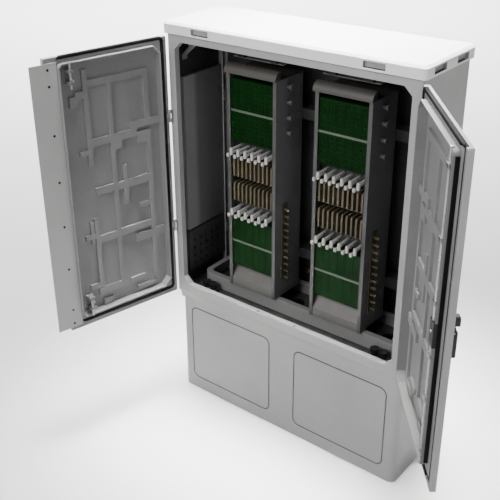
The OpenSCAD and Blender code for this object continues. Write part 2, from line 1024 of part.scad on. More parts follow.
module left_door() {
    color(shell) swing_left() difference() {
        mirror([1, 0, 0]) union() {
            door_shell(-left_edge, -left_lip);
            pads();
        }
        mirror([1, 0, 0]) seal(-strip_x0, door_y1 - seal_d, door_y1 + eps);
        for (z = [lip_z0 - eps, lip_z1 - lip_t - eps])
            bar_z(bolt_x, rod_y, z, z + lip_t + 2 * eps, rod_r + 0.6);
        screws(strip_screw_r, door_y1 - 8, door_y1 + eps);
    }
}

module left_hinges() {
    color(metal) swing_left() mirror([1, 0, 0]) for (z = hinge_zs) door_hinge(z);
}

module left_gasket() {
    color(black) swing_left() mirror([1, 0, 0])
        seal(-strip_x0, door_y1 - seal_d, front - seal_gap);
}

strip_z0 = plinth_h + 9;
strip_z1 = opening_z1;
strip_screw_x = strip_x0 + 33;
strip_screw_r = 2.5;
screw_pitch = (strip_z1 - strip_z0 - 151) / 5;
screw_zs = [strip_z0 + 17, for (k = [0:5]) strip_z0 + 74 + k * screw_pitch, strip_z1 - 21];

module screws(r, y0, y1) {
    for (z = screw_zs) bar_y(strip_screw_x, y0, y1, z, r);
}

module overlap_strip() {
    color(metal) swing_left() difference() {
        upright(door_y1, strip_t) span2(strip_x0, strip_x1, strip_z0, strip_z1);
        screws(strip_screw_r, door_y1 - eps, door_y1 + strip_t + eps);
    }
}

module strip_screws() {
    color(metal) swing_left() {
        screws(strip_screw_r, door_y1 - 8, door_y1 + strip_t);
        screws(4.5, door_y1 + strip_t, door_y1 + strip_t + 1.4);
    }
}

guide_fit = 0.08;
lug_t = 8;
top_guide_z = lip_z1 - 74;
bottom_guide_z = lip_z0 + 74 - 50;

// Two lugs on a base; the bolt's knob travels between them
module bolt_guide(z) {
    difference() {
        union() {
            box(bolt_x - 18, bolt_x + 18, skin_y, skin_y + 4, z, z + 50);
            for (k = [0, 50 - lug_t])
                box(bolt_x - 10, bolt_x + 10, skin_y, rod_y + rod_r + 3, z + k, z + k + lug_t);
        }
        bar_z(bolt_x, rod_y, z - eps, z + 50 + eps, rod_r + guide_fit);
    }
}

module bolt_guides() {
    color(metal) swing_left() {
        bolt_guide(top_guide_z);
        bolt_guide(bottom_guide_z);
    }
}

knob_r = 4;

module top_bolt() {
    knob_z = top_guide_z + lug_t + knob_r + 2;
    color(metal) swing_left() {
        bar_z(bolt_x, rod_y, top_guide_z - 16, lip_z1 + 3, rod_r);
        bar_y(bolt_x, rod_y, rod_y + 18, knob_z, knob_r);
    }
}

module bottom_bolt() {
    knob_z = bottom_guide_z + 50 - lug_t - knob_r - 2;
    color(metal) swing_left() {
        bar_z(bolt_x, rod_y, lip_z0 - 3, bottom_guide_z + 66, rod_r);
        bar_y(bolt_x, rod_y, rod_y + 18, knob_z, knob_r);
    }
}

// --- Right door --------------------------------------------------------

spindle_x = rod_x;
spindle_z = plinth_h + spindle_h;
spindle_r = 5;
lock_x0 = right_lip;
lock_x1 = spindle_x + 18;
lock_z0 = spindle_z - 40;
lock_z1 = spindle_z + 36;
lock_y0 = behind(-3);
lock_y1 = behind(17);
lock_t = 3;

module right_door() {
    color(shell) swing_right() difference() {
        union() {
            door_shell(right_edge, right_lip);
            pads();
        }
        seal(right_edge + 16, door_y1 - seal_d, door_y1 + eps);
        free_seal(door_y1 - seal_d, door_y1 + eps);
        box(right_edge - eps, strip_x1 + 1.5, door_y1 - strip_clear, door_y1 + eps,
            door_z0 - eps, door_z1 + eps);
        box(lock_x0, lock_x1, lock_y0, lip_y + eps, lock_z0, lock_z1);
        bar_y(spindle_x, door_y0 - eps, skin_y + eps, spindle_z, spindle_r + run_fit);
        for (z = [lip_z0 - eps, lip_z1 - lip_t - eps])
            bar_z(rod_x, rod_y, z, z + lip_t + 2 * eps, rod_r + 0.6);
    }
}

// Fourth side of the right door's seal, behind the overlap strip
module free_seal(y0, y1) {
    upright(y0, y1 - y0)
        span2(right_edge + 16, right_edge + 16 + seal_w, seal_bottom - seal_w / 2, seal_top + seal_w / 2);
}

module right_hinges() {
    color(metal) swing_right() for (z = hinge_zs) door_hinge(z);
}

module right_gasket() {
    color(black) swing_right() {
        difference() {
            union() {
                seal(right_edge + 16, door_y1 - seal_d, front - seal_gap);
                free_seal(door_y1 - seal_d, door_y1 - strip_clear);
            }
            box(right_edge, strip_x1 + 1.5, door_y1 - strip_clear, front, door_z0, door_z1);
        }
        box(strip_x1 + 1.5, right_lip, door_y1, door_y1 + bulb_h, lip_z0 + lip_r, lip_z1 - lip_r);
    }
}

// Case over the gear, open towards the door's skin and held off it by four posts
module lock_case() {
    color(black) swing_right() difference() {
        union() {
            box(lock_x0, lock_x1, lock_y0, lock_y1, lock_z0, lock_z1);
            for (x = [right_lip + lip_t + 4, lock_x1 - 4], z = [lock_z0 + 4, lock_z1 - 4])
                bar_y(x, skin_y, lock_y0, z, 4);
        }
        box(spindle_x - 15.5, lock_x1 - 2.5, lock_y0 - eps, lock_y1 - lock_t, lock_z0 + lock_t,
            lock_z1 - 2);
        bar_z(rod_x, rod_y, lock_z0 - eps, lock_z1 + eps, rod_r + 0.5);
        bar_y(spindle_x, lock_y1 - lock_t - eps, lock_y1 + eps, spindle_z, spindle_r + run_fit);
    }
}

plate_t = 9;
head_l = 24;
cheek_gap = 4.3;
tongue_w = 4;
lever_r = 9.6;
lever_half = 14;
plate_y = door_y0 - plate_t;
lever_pin_y = plate_y - lever_r - 1;
lever_pin_r = 2;

// Outer lock plate with a raised head above the lever
module lock_plate() {
    color(black) swing_right() difference() {
        union() {
            upright(plate_y, plate_t)
                round_span(spindle_x - 20, spindle_x + 20, spindle_z - lever_l, spindle_z + 54, 14);
            upright(plate_y - head_l, head_l)
                round_span(spindle_x - 15, spindle_x + 15, spindle_z + 19, spindle_z + 50, 9);
        }
        bar_y(spindle_x, plate_y - eps, door_y0 + eps, spindle_z, spindle_r + run_fit);
    }
}

pinion_n = 12;
pinion_pitch = 360 / pinion_n;
gear_t = 4;
gear_y = rod_y - gear_t / 2;
tip_r = pinion_r + 1.2;
root_r = pinion_r - 1.8;
rack_pitch = 2 * PI * pinion_r / pinion_n;

function polar(r, a) = [r * cos(a), r * sin(a)];

module pinion() {
    polygon([for (k = [0:pinion_n - 1]) each [
        polar(root_r, (k - 0.3) * pinion_pitch), polar(pinion_r, (k - 0.21) * pinion_pitch),
        polar(tip_r, (k - 0.09) * pinion_pitch), polar(tip_r, (k + 0.09) * pinion_pitch),
        polar(pinion_r, (k + 0.21) * pinion_pitch), polar(root_r, (k + 0.3) * pinion_pitch)]]);
}

// Toothed bar beside the pinion and its arm to the rod above
module toothed_bar() {
    x0 = pinion_r - 1.1;
    x1 = pinion_r + 1.6;
    difference() {
        union() {
            span2(x0, x1 + 3, -22, 18);
            span2(0, x1 + 3, 13, 18);
        }
        for (k = [-6:2]) translate([x0, k * rack_pitch])
            polygon([[-eps, -rack_pitch / 2 + 0.2], [0, -rack_pitch / 2 + 0.6],
                [x1 - x0, -0.85], [x1 - x0, 0.85],
                [0, rack_pitch / 2 - 0.6], [-eps, rack_pitch / 2 - 0.2]]);
    }
}

// Spindle with its outer tongue and its inner pinion
module lock_spindle() {
    color(metal) swing_right() difference() {
        union() {
            bar_y(spindle_x, plate_y + 0.4, lock_y1 + 2, spindle_z, spindle_r);
            upright(gear_y, gear_t) translate([spindle_x, spindle_z]) pinion();
            box(spindle_x - tongue_w, spindle_x + tongue_w, lever_pin_y, plate_y + 0.4, spindle_z - 3,
                spindle_z + 3);
            bar_x(spindle_x - tongue_w, spindle_x + tongue_w, lever_pin_y, spindle_z, 4.5);
        }
        bar_x(spindle_x - 10, spindle_x + 10, lever_pin_y, spindle_z, lever_pin_r + run_fit);
    }
}

barrel_r = 6.5;
barrel_z = spindle_z - 44;

// Swing handle: lifts on its pin, then turns with the spindle
module handle_lever() {
    color(black) swing_right() difference() {
        union() {
            bar_x(spindle_x - lever_half, spindle_x + lever_half, lever_pin_y, spindle_z, lever_r);
            upright(lever_pin_y - lever_r, 2 * lever_r) {
                span2(spindle_x - lever_half, spindle_x + lever_half, spindle_z - 30, spindle_z);
                round_span(spindle_x - lever_half, spindle_x + lever_half, spindle_z - lever_l + 4,
                    spindle_z - 10, 8);
            }
        }
        box(spindle_x - cheek_gap, spindle_x + cheek_gap, lever_pin_y - lever_r - eps,
            lever_pin_y + lever_r + eps, spindle_z - 14, spindle_z + lever_r + eps);
        bar_x(spindle_x - 20, spindle_x + 20, lever_pin_y, spindle_z, lever_pin_r);
        bar_y(spindle_x, lever_pin_y - lever_r - eps, lever_pin_y + lever_r + eps, barrel_z,
            barrel_r + run_fit);
    }
}

module lever_pin() {
    color(metal) swing_right()
        bar_x(spindle_x - lever_half, spindle_x + lever_half, lever_pin_y, spindle_z, lever_pin_r);
}

// Key barrel in the lever, with a plain key slot
module lock_barrel() {
    y0 = lever_pin_y - lever_r - 0.8;
    color(metal) swing_right() difference() {
        bar_y(spindle_x, y0, lever_pin_y + lever_r - 0.5, barrel_z, barrel_r);
        box(spindle_x - 0.8, spindle_x + 0.8, y0 - eps, y0 + 6, barrel_z - 4, barrel_z + 4);
    }
}

rod_foot = 13;

module upper_rod() {
    color(metal) swing_right() {
        bar_z(rod_x, rod_y, spindle_z + rod_foot, lip_z1 + 3, rod_r);
        upright(gear_y, gear_t) translate([spindle_x, spindle_z]) toothed_bar();
    }
}

module lower_rod() {
    color(metal) swing_right() {
        bar_z(rod_x, rod_y, lip_z0 - 3, spindle_z - rod_foot, rod_r);
        upright(gear_y, gear_t) translate([spindle_x, spindle_z]) rotate(180) toothed_bar();
    }
}

module rod_guide(z) {
    difference() {
        box(rod_x - 11, rod_x + 11, skin_y, rod_y + rod_r + 3, z - 7, z + 7);
        bar_z(rod_x, rod_y, z - 7 - eps, z + 7 + eps, rod_r + guide_fit);
    }
}

guide_zs = [lip_z0 + 47, spindle_z - 215, spindle_z - 75, spindle_z + 91, spindle_z + 275, lip_z1 - 47];

module rod_guides() {
    color(metal) swing_right() for (z = guide_zs) rod_guide(z);
}

plinth();
front_frame();
left_side_wall();
right_side_wall();
rear_wall();
roof_cap();
roof_tray();
roof_bolts();
floor_plate();
floor_grommets();
inner_rim();
clamp_bases();
clamp_knobs();
side_liners();
rear_liner();
vent_plates();
top_brackets();
rack_rails();
earth_bar();
earth_studs();
left_rack_frame();
right_rack_frame();
rack_hoods();
rack_feet();
left_upper_adapters();
right_upper_adapters();
left_lower_adapters();
right_lower_adapters();
adapter_bars();
left_cable_hooks();
right_cable_hooks();
left_cassettes();
right_cassettes();
cassette_holders();
storage_spools();
side_combs();
guide_bars();
guide_clips();
frame_hinges();
hinge_pins();
left_door();
left_hinges();
left_gasket();
overlap_strip();
strip_screws();
bolt_guides();
top_bolt();
bottom_bolt();
right_door();
right_hinges();
right_gasket();
lock_case();
lock_plate();
lock_spindle();
handle_lever();
lever_pin();
lock_barrel();
upper_rod();
lower_rod();
rod_guides();
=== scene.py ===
"""Finishes and fine detail for a two-door street fibre cabinet."""
import json
from math import cos, radians, sin

import bpy
from mathutils import Matrix, Vector
from mathutils.bvhtree import BVHTree


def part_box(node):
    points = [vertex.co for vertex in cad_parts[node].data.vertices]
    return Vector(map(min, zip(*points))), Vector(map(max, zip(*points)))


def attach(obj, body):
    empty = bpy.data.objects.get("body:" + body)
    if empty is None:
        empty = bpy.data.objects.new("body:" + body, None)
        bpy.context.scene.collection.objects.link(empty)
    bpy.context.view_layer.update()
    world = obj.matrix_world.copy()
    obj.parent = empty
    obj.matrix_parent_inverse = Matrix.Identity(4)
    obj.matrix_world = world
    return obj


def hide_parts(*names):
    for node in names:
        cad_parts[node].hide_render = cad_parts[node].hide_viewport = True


bl_info = {
    "name": "Street Fibre Cabinet",
    "version": (1, 0, 0),
    "blender": (4, 5, 0),
    "location": "View3D > Sidebar > Cabinet",
    "description": "Finishes, seals, rack fittings and stage for a two-door street cabinet",
    "category": "Add Mesh",
}

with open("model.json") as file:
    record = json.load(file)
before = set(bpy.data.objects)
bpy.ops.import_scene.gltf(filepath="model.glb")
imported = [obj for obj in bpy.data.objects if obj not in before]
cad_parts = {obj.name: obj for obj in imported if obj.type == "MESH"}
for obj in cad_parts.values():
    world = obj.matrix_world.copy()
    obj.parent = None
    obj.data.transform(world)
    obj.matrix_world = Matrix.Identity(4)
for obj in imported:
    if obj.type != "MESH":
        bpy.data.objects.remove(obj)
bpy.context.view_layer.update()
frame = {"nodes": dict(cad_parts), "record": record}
NODES = frame["nodes"]
BODY_OF = {node: body for body, nodes in frame["record"]["behaviour"]["bodies"].items() for node in nodes}
SLOT_OF = {part["node"]: part["material_slot"] for part in frame["record"]["subparts"]}
# Where each door's hinge axis stands, and how far the door is turned from shut
DOOR_PINS = {"left": Vector((-0.499, -0.1575, 0)), "right": Vector((0.499, -0.1575, 0))}
DOOR_TURNS = {"left": radians(-102.9), "right": radians(128.6)}
# A rounded corner may lie this far from the CAD surface: a length, and a share of the rounding
STRAY_LIMIT = 0.0001
STRAY_SHARE = 0.5
# Corners this close are merged, edges this short are dropped, and faces this level are joined
MERGE_GAP = 0.00001
SLIVER = 0.000002
FLAT_ANGLE = radians(0.5)
# Left and right ends of each rack's row of cassettes, and the liners' front edge with painted light, in
# metres
CASSETTE_ROWS = ((-0.28, -0.09), (0.09, 0.28))
LINER_LIT_EDGE = (0.05, 0.075)
PLATING_DEPTH = 0.00003


# --- Settings ------------------------------------------------------------

def tone(label, words, default):
    """Colour property with a plain description."""
    return bpy.props.FloatVectorProperty(
        name=label, description=words, subtype="COLOR", size=3, min=0.0, max=1.0, default=default)


def number(label, words, default, unit="NONE"):
    """Number property, plain or with a unit."""
    return bpy.props.FloatProperty(name=label, description=words, unit=unit, default=default)


def length(label, words, default):
    """Length property in metres."""
    return number(label, words, default, "LENGTH")


class CabinetTones(bpy.types.PropertyGroup):
    """Colours of the cabinet's finishes"""
    shell: tone("Shell", "Moulded walls, doors and plinth", (0.43, 0.43, 0.425))
    shell_shade: tone("Shell shade", "Darker patches of the moulded skin", (0.355, 0.355, 0.35))
    # Painted shade: the doors' inner side is the shell grey darkened
    lining: tone("Door lining", "Inner skin of the doors", (0.25, 0.25, 0.25))
    strip: tone("Overlap strip", "Painted strip on the left door", (0.46, 0.46, 0.455))
    roof: tone("Roof", "Moulded roof cap", (0.90, 0.90, 0.89))
    # Real dark sheets; on the side walls' inward faces this tone is painted shade
    inner: tone("Inner sheet", "Powder-coated inner sheets, and painted shade on the side walls' inward faces", (0.04, 0.04, 0.042))
    # Painted light on the liners' front edge, painted shade on the rest of the pans
    liner: tone("Side liner", "Front edge of the pans on the side walls", (0.30, 0.30, 0.30))
    liner_shade: tone("Shaded liner", "Rest of the pans on the side walls", (0.16, 0.16, 0.163))
    rack: tone("Rack sheet", "Folded sheet of the racks", (0.19, 0.19, 0.20))
    flange: tone("Rack flange", "Front edges, rails and rim", (0.09, 0.09, 0.087))
    rubber: tone("Rubber", "Door seals and cable grommets", (0.004, 0.004, 0.004))
    adapter: tone("Adapter", "Green adapter modules", (0.0008, 0.028, 0.0018))
    ferrule: tone("Ferrule", "Sleeves inside the adapter ports", (0.003, 0.04, 0.006))
    divider: tone("Divider", "Pale green bars between adapter fields", (0.11, 0.145, 0.105))
    cassette: tone("Cassette", "Olive splice cassettes", (0.17, 0.147, 0.087))
    cassette_warm: tone("Warm cassette", "Cassettes at the right of a row", (0.15, 0.11, 0.085))
    rim: tone("Rim", "Rim of the floor opening and cable guides", (0.30, 0.30, 0.295))
    hood: tone("Hood", "Curved guides over the racks", (0.085, 0.08, 0.073))
    # Painted shade: a dark tone for the floor and flanks of the plinth's moulded lines
    groove: tone("Groove", "Painted shade in the plinth's moulded lines", (0.13, 0.13, 0.125))
    comb: tone("Comb", "Cable combs on the racks' sides", (0.10, 0.082, 0.046))
    vent: tone("Vent plate", "Perforated plates on the side walls", (0.07, 0.07, 0.072))
    guide: tone("Bolt guide", "Painted guides of the shoot bolts", (0.24, 0.24, 0.235))
    screw: tone("Screw", "Blackened screws of the overlap strip", (0.05, 0.05, 0.05))
    fitting: tone("Fitting", "Pale rack fittings", (0.17, 0.165, 0.155))
    tip: tone("Hook", "Bright cable hooks", (0.62, 0.62, 0.60))
    plate: tone("Plating", "Zinc-plated hardware", (0.62, 0.62, 0.60))
    brass: tone("Brass", "Earth bar", (0.42, 0.30, 0.12))
    black: tone("Black", "Lock parts, knobs and clips", (0.012, 0.012, 0.013))


class CabinetDetail(bpy.types.PropertyGroup):
    """Sizes of the finer details"""
    shell_edge: length("Shell edge", "Rounding of the moulded edges", 0.001)
    sheet_edge: length("Sheet edge", "Rounding of the folded sheet's edges", 0.0005)
    seal_edge: length("Seal edge", "Rounding of the rubber seal's crown", 0.0034)
    handle_edge: length("Handle edge", "Rounding of the swing handle", 0.003)
    plate_edge: length("Plate edge", "Rounding of the lock's outer plate", 0.002)
    hook_radius: length("Hook radius", "Radius of a cable hook's rod", 0.0045)
    hook_tip_radius: length("Hook tip radius", "Radius of a cable hook's finger", 0.0065)
    screw_radius: length("Screw radius", "Radius of a strip screw's head", 0.0045)
    knob_radius: length("Knob radius", "Radius of a clamp's knob", 0.013)


class CabinetStage(bpy.types.PropertyGroup):
    """Camera, floor and lights"""
    azimuth: number("Azimuth", "Camera's turn to the right of the front", radians(39.9), "ROTATION")
    elevation: number("Elevation", "Camera's height as an angle", radians(25.2), "ROTATION")
    roll: number("Roll", "Camera's lean", radians(-1.12), "ROTATION")
    distance: length("Distance", "Camera's distance from its target", 3.1125)
    target: bpy.props.FloatVectorProperty(
        name="Target", description="Point that the camera is aimed at", subtype="TRANSLATION",
        unit="LENGTH", default=(-0.2522, -0.153, 0.887))
    lens: number("Lens", "Focal length in millimetres", 61.1)
    shift: bpy.props.FloatVectorProperty(
        name="Shift", description="Camera's shift across and up", size=2, default=(0.052, -0.079))
    floor_size: length("Floor size", "Width of the floor", 40.0)
    sky: number("Sky", "Strength of the even white surround", 0.14)
    front: number("Front light", "Power in watts", 190.0)
    top: number("Top light", "Power in watts", 45.0)
    side: number("Side light", "Power in watts", 30.0)
    backdrop: number("Backdrop light", "Power in watts", 3200.0)


def tones():
    return bpy.context.scene.cabinet_tones


def detail():
    return bpy.context.scene.cabinet_detail


def stage():
    return bpy.context.scene.cabinet_stage


# --- Node helpers ----------------------------------------------------------

def add_node(tree, kind, place, **settings):
    """Adds one node at place and sets its properties."""
    node = tree.nodes.new(kind)
    node.location = (place[0] * 200, place[1] * 200)
    for key, value in settings.items():
        setattr(node, key, value)
    return node


def noise(tree, place, vector, scale, detail_level=3.0, roughness=0.5):
    """Noise texture fed by vector."""
    node = add_node(tree, "ShaderNodeTexNoise", place)
    node.inputs["Scale"].default_value = scale
    node.inputs["Detail"].default_value = detail_level
    node.inputs["Roughness"].default_value = roughness
    tree.links.new(vector, node.inputs["Vector"])
    return node.outputs["Fac"]


def remap(tree, place, value, low, high, to_low, to_high):
    """Maps value from low..high to to_low..to_high."""
    node = add_node(tree, "ShaderNodeMapRange", place)
    for label, number in (("From Min", low), ("From Max", high), ("To Min", to_low), ("To Max", to_high)):
        node.inputs[label].default_value = number
    tree.links.new(value, node.inputs["Value"])
    return node.outputs["Result"]


def mix_tones(tree, place, mask, first, second):
    """Mixes two colours by mask. A colour is an output socket or a fixed RGB."""
    node = add_node(tree, "ShaderNodeMix", place, data_type="RGBA")
    tree.links.new(mask, node.inputs[0])
    for socket, value in ((node.inputs[6], first), (node.inputs[7], second)):
        if isinstance(value, bpy.types.NodeSocket):
            tree.links.new(value, socket)
        else:
            socket.default_value = (*value, 1.0)
    return node.outputs[2]


def calculate(tree, place, operation, first, second):
    """Math node on sockets or numbers."""
    node = add_node(tree, "ShaderNodeMath", place, operation=operation)
    for socket, value in zip(node.inputs, (first, second)):
        if isinstance(value, bpy.types.NodeSocket):
            tree.links.new(value, socket)
        else:
            socket.default_value = value
    return node.outputs[0]


def start_group(name, inputs, outputs):
    """Empty shader group with named sockets, and its input and output nodes."""
    tree = bpy.data.node_groups.new(name, "ShaderNodeTree")
    for label, kind, default in inputs:
        socket = tree.interface.new_socket(name=label, in_out="INPUT", socket_type="NodeSocket" + kind)
        socket.default_value = default
    for label, kind in outputs:
        tree.interface.new_socket(name=label, in_out="OUTPUT", socket_type="NodeSocket" + kind)
    return tree, add_node(tree, "NodeGroupInput", (-4, 0)), add_node(tree, "NodeGroupOutput", (5, 0))


def object_coordinates(tree, place=(-4, 2)):
    """Coordinates in the piece's own frame."""
    return add_node(tree, "ShaderNodeTexCoord", place).outputs["Object"]


def finish_skin(tree, given, result, mask, gloss, height):
    """Ends a skin group: mixes its tones by mask and spreads gloss over its range."""
    mixer = add_node(tree, "ShaderNodeMix", (3, 2), data_type="RGBA")
    spread = add_node(tree, "ShaderNodeMapRange", (3, -1))
    for source, socket in ((mask, mixer.inputs[0]), (given.outputs["Tone"], mixer.inputs[6]),
                           (given.outputs["Shade"], mixer.inputs[7]), (gloss, spread.inputs["Value"]),
                           (given.outputs["Gloss Low"], spread.inputs["To Min"]),
                           (given.outputs["Gloss High"], spread.inputs["To Max"]),
                           (mixer.outputs[2], result.inputs["Color"]),
                           (spread.outputs["Result"], result.inputs["Roughness"]),
                           (height, result.inputs["Height"])):
        tree.links.new(source, socket)
    return tree


def moulded_skin_group():
    """Mottled, finely grained plastic skin."""
    name = "Moulded Skin"
    if name in bpy.data.node_groups:
        return bpy.data.node_groups[name]
    tree, given, result = start_group(
        name,
        [("Tone", "Color", (0.5, 0.5, 0.5, 1)), ("Shade", "Color", (0.4, 0.4, 0.4, 1)),
         ("Patch Scale", "Float", 3.0), ("Grain Scale", "Float", 700.0),
         ("Gloss Low", "Float", 0.42), ("Gloss High", "Float", 0.6)],
        [("Color", "Color"), ("Roughness", "Float"), ("Height", "Float")])
    where = object_coordinates(tree)
    patches = add_node(tree, "ShaderNodeTexNoise", (-2, 2))
    patches.inputs["Detail"].default_value = 5.0
    tree.links.new(where, patches.inputs["Vector"])
    tree.links.new(given.outputs["Patch Scale"], patches.inputs["Scale"])
    grain = add_node(tree, "ShaderNodeTexNoise", (-2, 0))
    grain.inputs["Detail"].default_value = 2.0
    tree.links.new(where, grain.inputs["Vector"])
    tree.links.new(given.outputs["Grain Scale"], grain.inputs["Scale"])
    speckle = noise(tree, (-2, -2), where, 160.0, 3.0)
    mask = remap(tree, (0, 2), patches.outputs["Fac"], 0.35, 0.68, 0.0, 1.0)
    fine = remap(tree, (0, 0), speckle, 0.4, 0.75, 0.0, 0.35)
    both = calculate(tree, (1, 1), "ADD", mask, fine)
    return finish_skin(tree, given, result, both, speckle, grain.outputs["Fac"])


def settled_dust_group():
    """Thin dust on faces that look up, broken up by noise."""
    name = "Settled Dust"
    if name in bpy.data.node_groups:
        return bpy.data.node_groups[name]
    tree, given, result = start_group(
        name,
        [("Color", "Color", (0.5, 0.5, 0.5, 1)), ("Roughness", "Float", 0.5),
         ("Dust", "Color", (0.36, 0.34, 0.30, 1)), ("Amount", "Float", 0.3)],
        [("Color", "Color"), ("Roughness", "Float")])
    where = object_coordinates(tree)
    facing = add_node(tree, "ShaderNodeNewGeometry", (-4, -2))
    split = add_node(tree, "ShaderNodeSeparateXYZ", (-3, -2))
    tree.links.new(facing.outputs["Normal"], split.inputs[0])
    up = remap(tree, (-2, -2), split.outputs["Z"], 0.2, 0.95, 0.0, 1.0)
    cloud = remap(tree, (-1, 2), noise(tree, (-2, 2), where, 22.0, 6.0, 0.65), 0.38, 0.72, 0.1, 1.0)
    mask = calculate(tree, (0, 0), "MULTIPLY", up, cloud)
    mask = calculate(tree, (1, 0), "MULTIPLY", mask, given.outputs["Amount"])
    mixer = add_node(tree, "ShaderNodeMix", (3, 1), data_type="RGBA")
    tree.links.new(mask, mixer.inputs[0])
    tree.links.new(given.outputs["Color"], mixer.inputs[6])
    tree.links.new(given.outputs["Dust"], mixer.inputs[7])
    extra = calculate(tree, (2, -1), "MULTIPLY", mask, 0.3)
    rough = calculate(tree, (3, -1), "ADD", given.outputs["Roughness"], extra)
    tree.links.new(mixer.outputs[2], result.inputs["Color"])
    tree.links.new(rough, result.inputs["Roughness"])
    return tree


def plated_metal_group():
    """Crystalline plating with fine drawn lines along one axis."""
    name = "Plated Metal"
    if name in bpy.data.node_groups:
        return bpy.data.node_groups[name]
    tree, given, result = start_group(
        name,
        [("Tone", "Color", (0.6, 0.6, 0.6, 1)), ("Shade", "Color", (0.4, 0.4, 0.4, 1)),
         ("Line Scale", "Float", 300.0), ("Gloss Low", "Float", 0.24), ("Gloss High", "Float", 0.48)],
        [("Color", "Color"), ("Roughness", "Float"), ("Height", "Float")])
    where = object_coordinates(tree)
    stretch = add_node(tree, "ShaderNodeMapping", (-3, 2))
    stretch.inputs["Scale"].default_value = (1.0, 1.0, 0.04)
    tree.links.new(where, stretch.inputs["Vector"])
    lines = add_node(tree, "ShaderNodeTexNoise", (-2, 2))
    lines.inputs["Detail"].default_value = 3.0
    tree.links.new(stretch.outputs["Vector"], lines.inputs["Vector"])
    tree.links.new(given.outputs["Line Scale"], lines.inputs["Scale"])
    spangle = add_node(tree, "ShaderNodeTexVoronoi", (-2, 0))
    spangle.inputs["Scale"].default_value = 110.0
    tree.links.new(where, spangle.inputs["Vector"])
    flake = add_node(tree, "ShaderNodeSeparateColor", (-1, 0))
    tree.links.new(spangle.outputs["Color"], flake.inputs[0])
    cloud = noise(tree, (-2, -2), where, 9.0, 5.0, 0.6)
    mask = remap(tree, (0, -1), cloud, 0.35, 0.7, 0.0, 0.7)
    mask = calculate(tree, (1, 0), "ADD", mask, calculate(tree, (0, 0), "MULTIPLY", flake.outputs[0], 0.3))
    return finish_skin(tree, given, result, mask, mask, lines.outputs["Fac"])


# --- Finishes --------------------------------------------------------------

def new_finish(name, metallic=0.0, specular=0.5):
    """Material with an empty Principled shader."""
    material = bpy.data.materials.new(name)
    material.use_nodes = True
    shader = material.node_tree.nodes["Principled BSDF"]
    shader.inputs["Metallic"].default_value = metallic
    shader.inputs["Specular IOR Level"].default_value = specular
    return material, material.node_tree, shader


def place_group(tree, group, place, **values):
    """Places a shader group and sets its inputs by name, with _ for a space."""
    node = add_node(tree, "ShaderNodeGroup", place, node_tree=group)
    for key, value in values.items():
        socket = node.inputs[key.replace("_", " ")]
        socket.default_value = (*value, 1.0) if socket.type == "RGBA" else value
    return node


def connect_bump(tree, shader, height, depth):
    """Feeds height to the shader as a bump of that depth."""
    bump = add_node(tree, "ShaderNodeBump", (-1, -2))
    bump.inputs["Distance"].default_value = depth
    bump.inputs["Strength"].default_value = 1.0
    tree.links.new(height, bump.inputs["Height"])
    tree.links.new(bump.outputs["Normal"], shader.inputs["Normal"])


def moulded(name, base, shade, grain=700.0, depth=0.00006, low=0.42, high=0.6, dust=0.0, patch=3.0,
            specular=0.5):
    """Moulded plastic finish."""
    if name in bpy.data.materials:
        return bpy.data.materials[name]
    material, tree, shader = new_finish(name, specular=specular)
    skin = place_group(tree, moulded_skin_group(), (-4, 0), Tone=base, Shade=shade, Patch_Scale=patch,
                       Grain_Scale=grain, Gloss_Low=low, Gloss_High=high)
    colour, rough = skin.outputs["Color"], skin.outputs["Roughness"]
    if dust:
        film = place_group(tree, settled_dust_group(), (-2, 0), Amount=dust)
        tree.links.new(colour, film.inputs["Color"])
        tree.links.new(rough, film.inputs["Roughness"])
        colour, rough = film.outputs["Color"], film.outputs["Roughness"]
    tree.links.new(colour, shader.inputs["Base Color"])
    tree.links.new(rough, shader.inputs["Roughness"])
    connect_bump(tree, shader, skin.outputs["Height"], depth)
    return material


def plated(name, base, shade, low=0.24, high=0.48):
    """Plated or bare metal finish."""
    if name in bpy.data.materials:
        return bpy.data.materials[name]
    material, tree, shader = new_finish(name, metallic=1.0)
    skin = place_group(tree, plated_metal_group(), (-3, 0), Tone=base, Shade=shade,
                       Gloss_Low=low, Gloss_High=high)
    tree.links.new(skin.outputs["Color"], shader.inputs["Base Color"])
    tree.links.new(skin.outputs["Roughness"], shader.inputs["Roughness"])
    connect_bump(tree, shader, skin.outputs["Height"], PLATING_DEPTH)
    return material


def darker(colour, share):
    """Colour with every channel times share."""
    return tuple(channel * share for channel in colour)


POWDER = dict(grain=420.0, depth=0.00003, low=0.34, high=0.5, dust=0.06)
COATING = dict(grain=420.0, depth=0.00004, low=0.4, high=0.55)
SATIN = dict(grain=900.0, depth=0.00002, low=0.35, high=0.5)
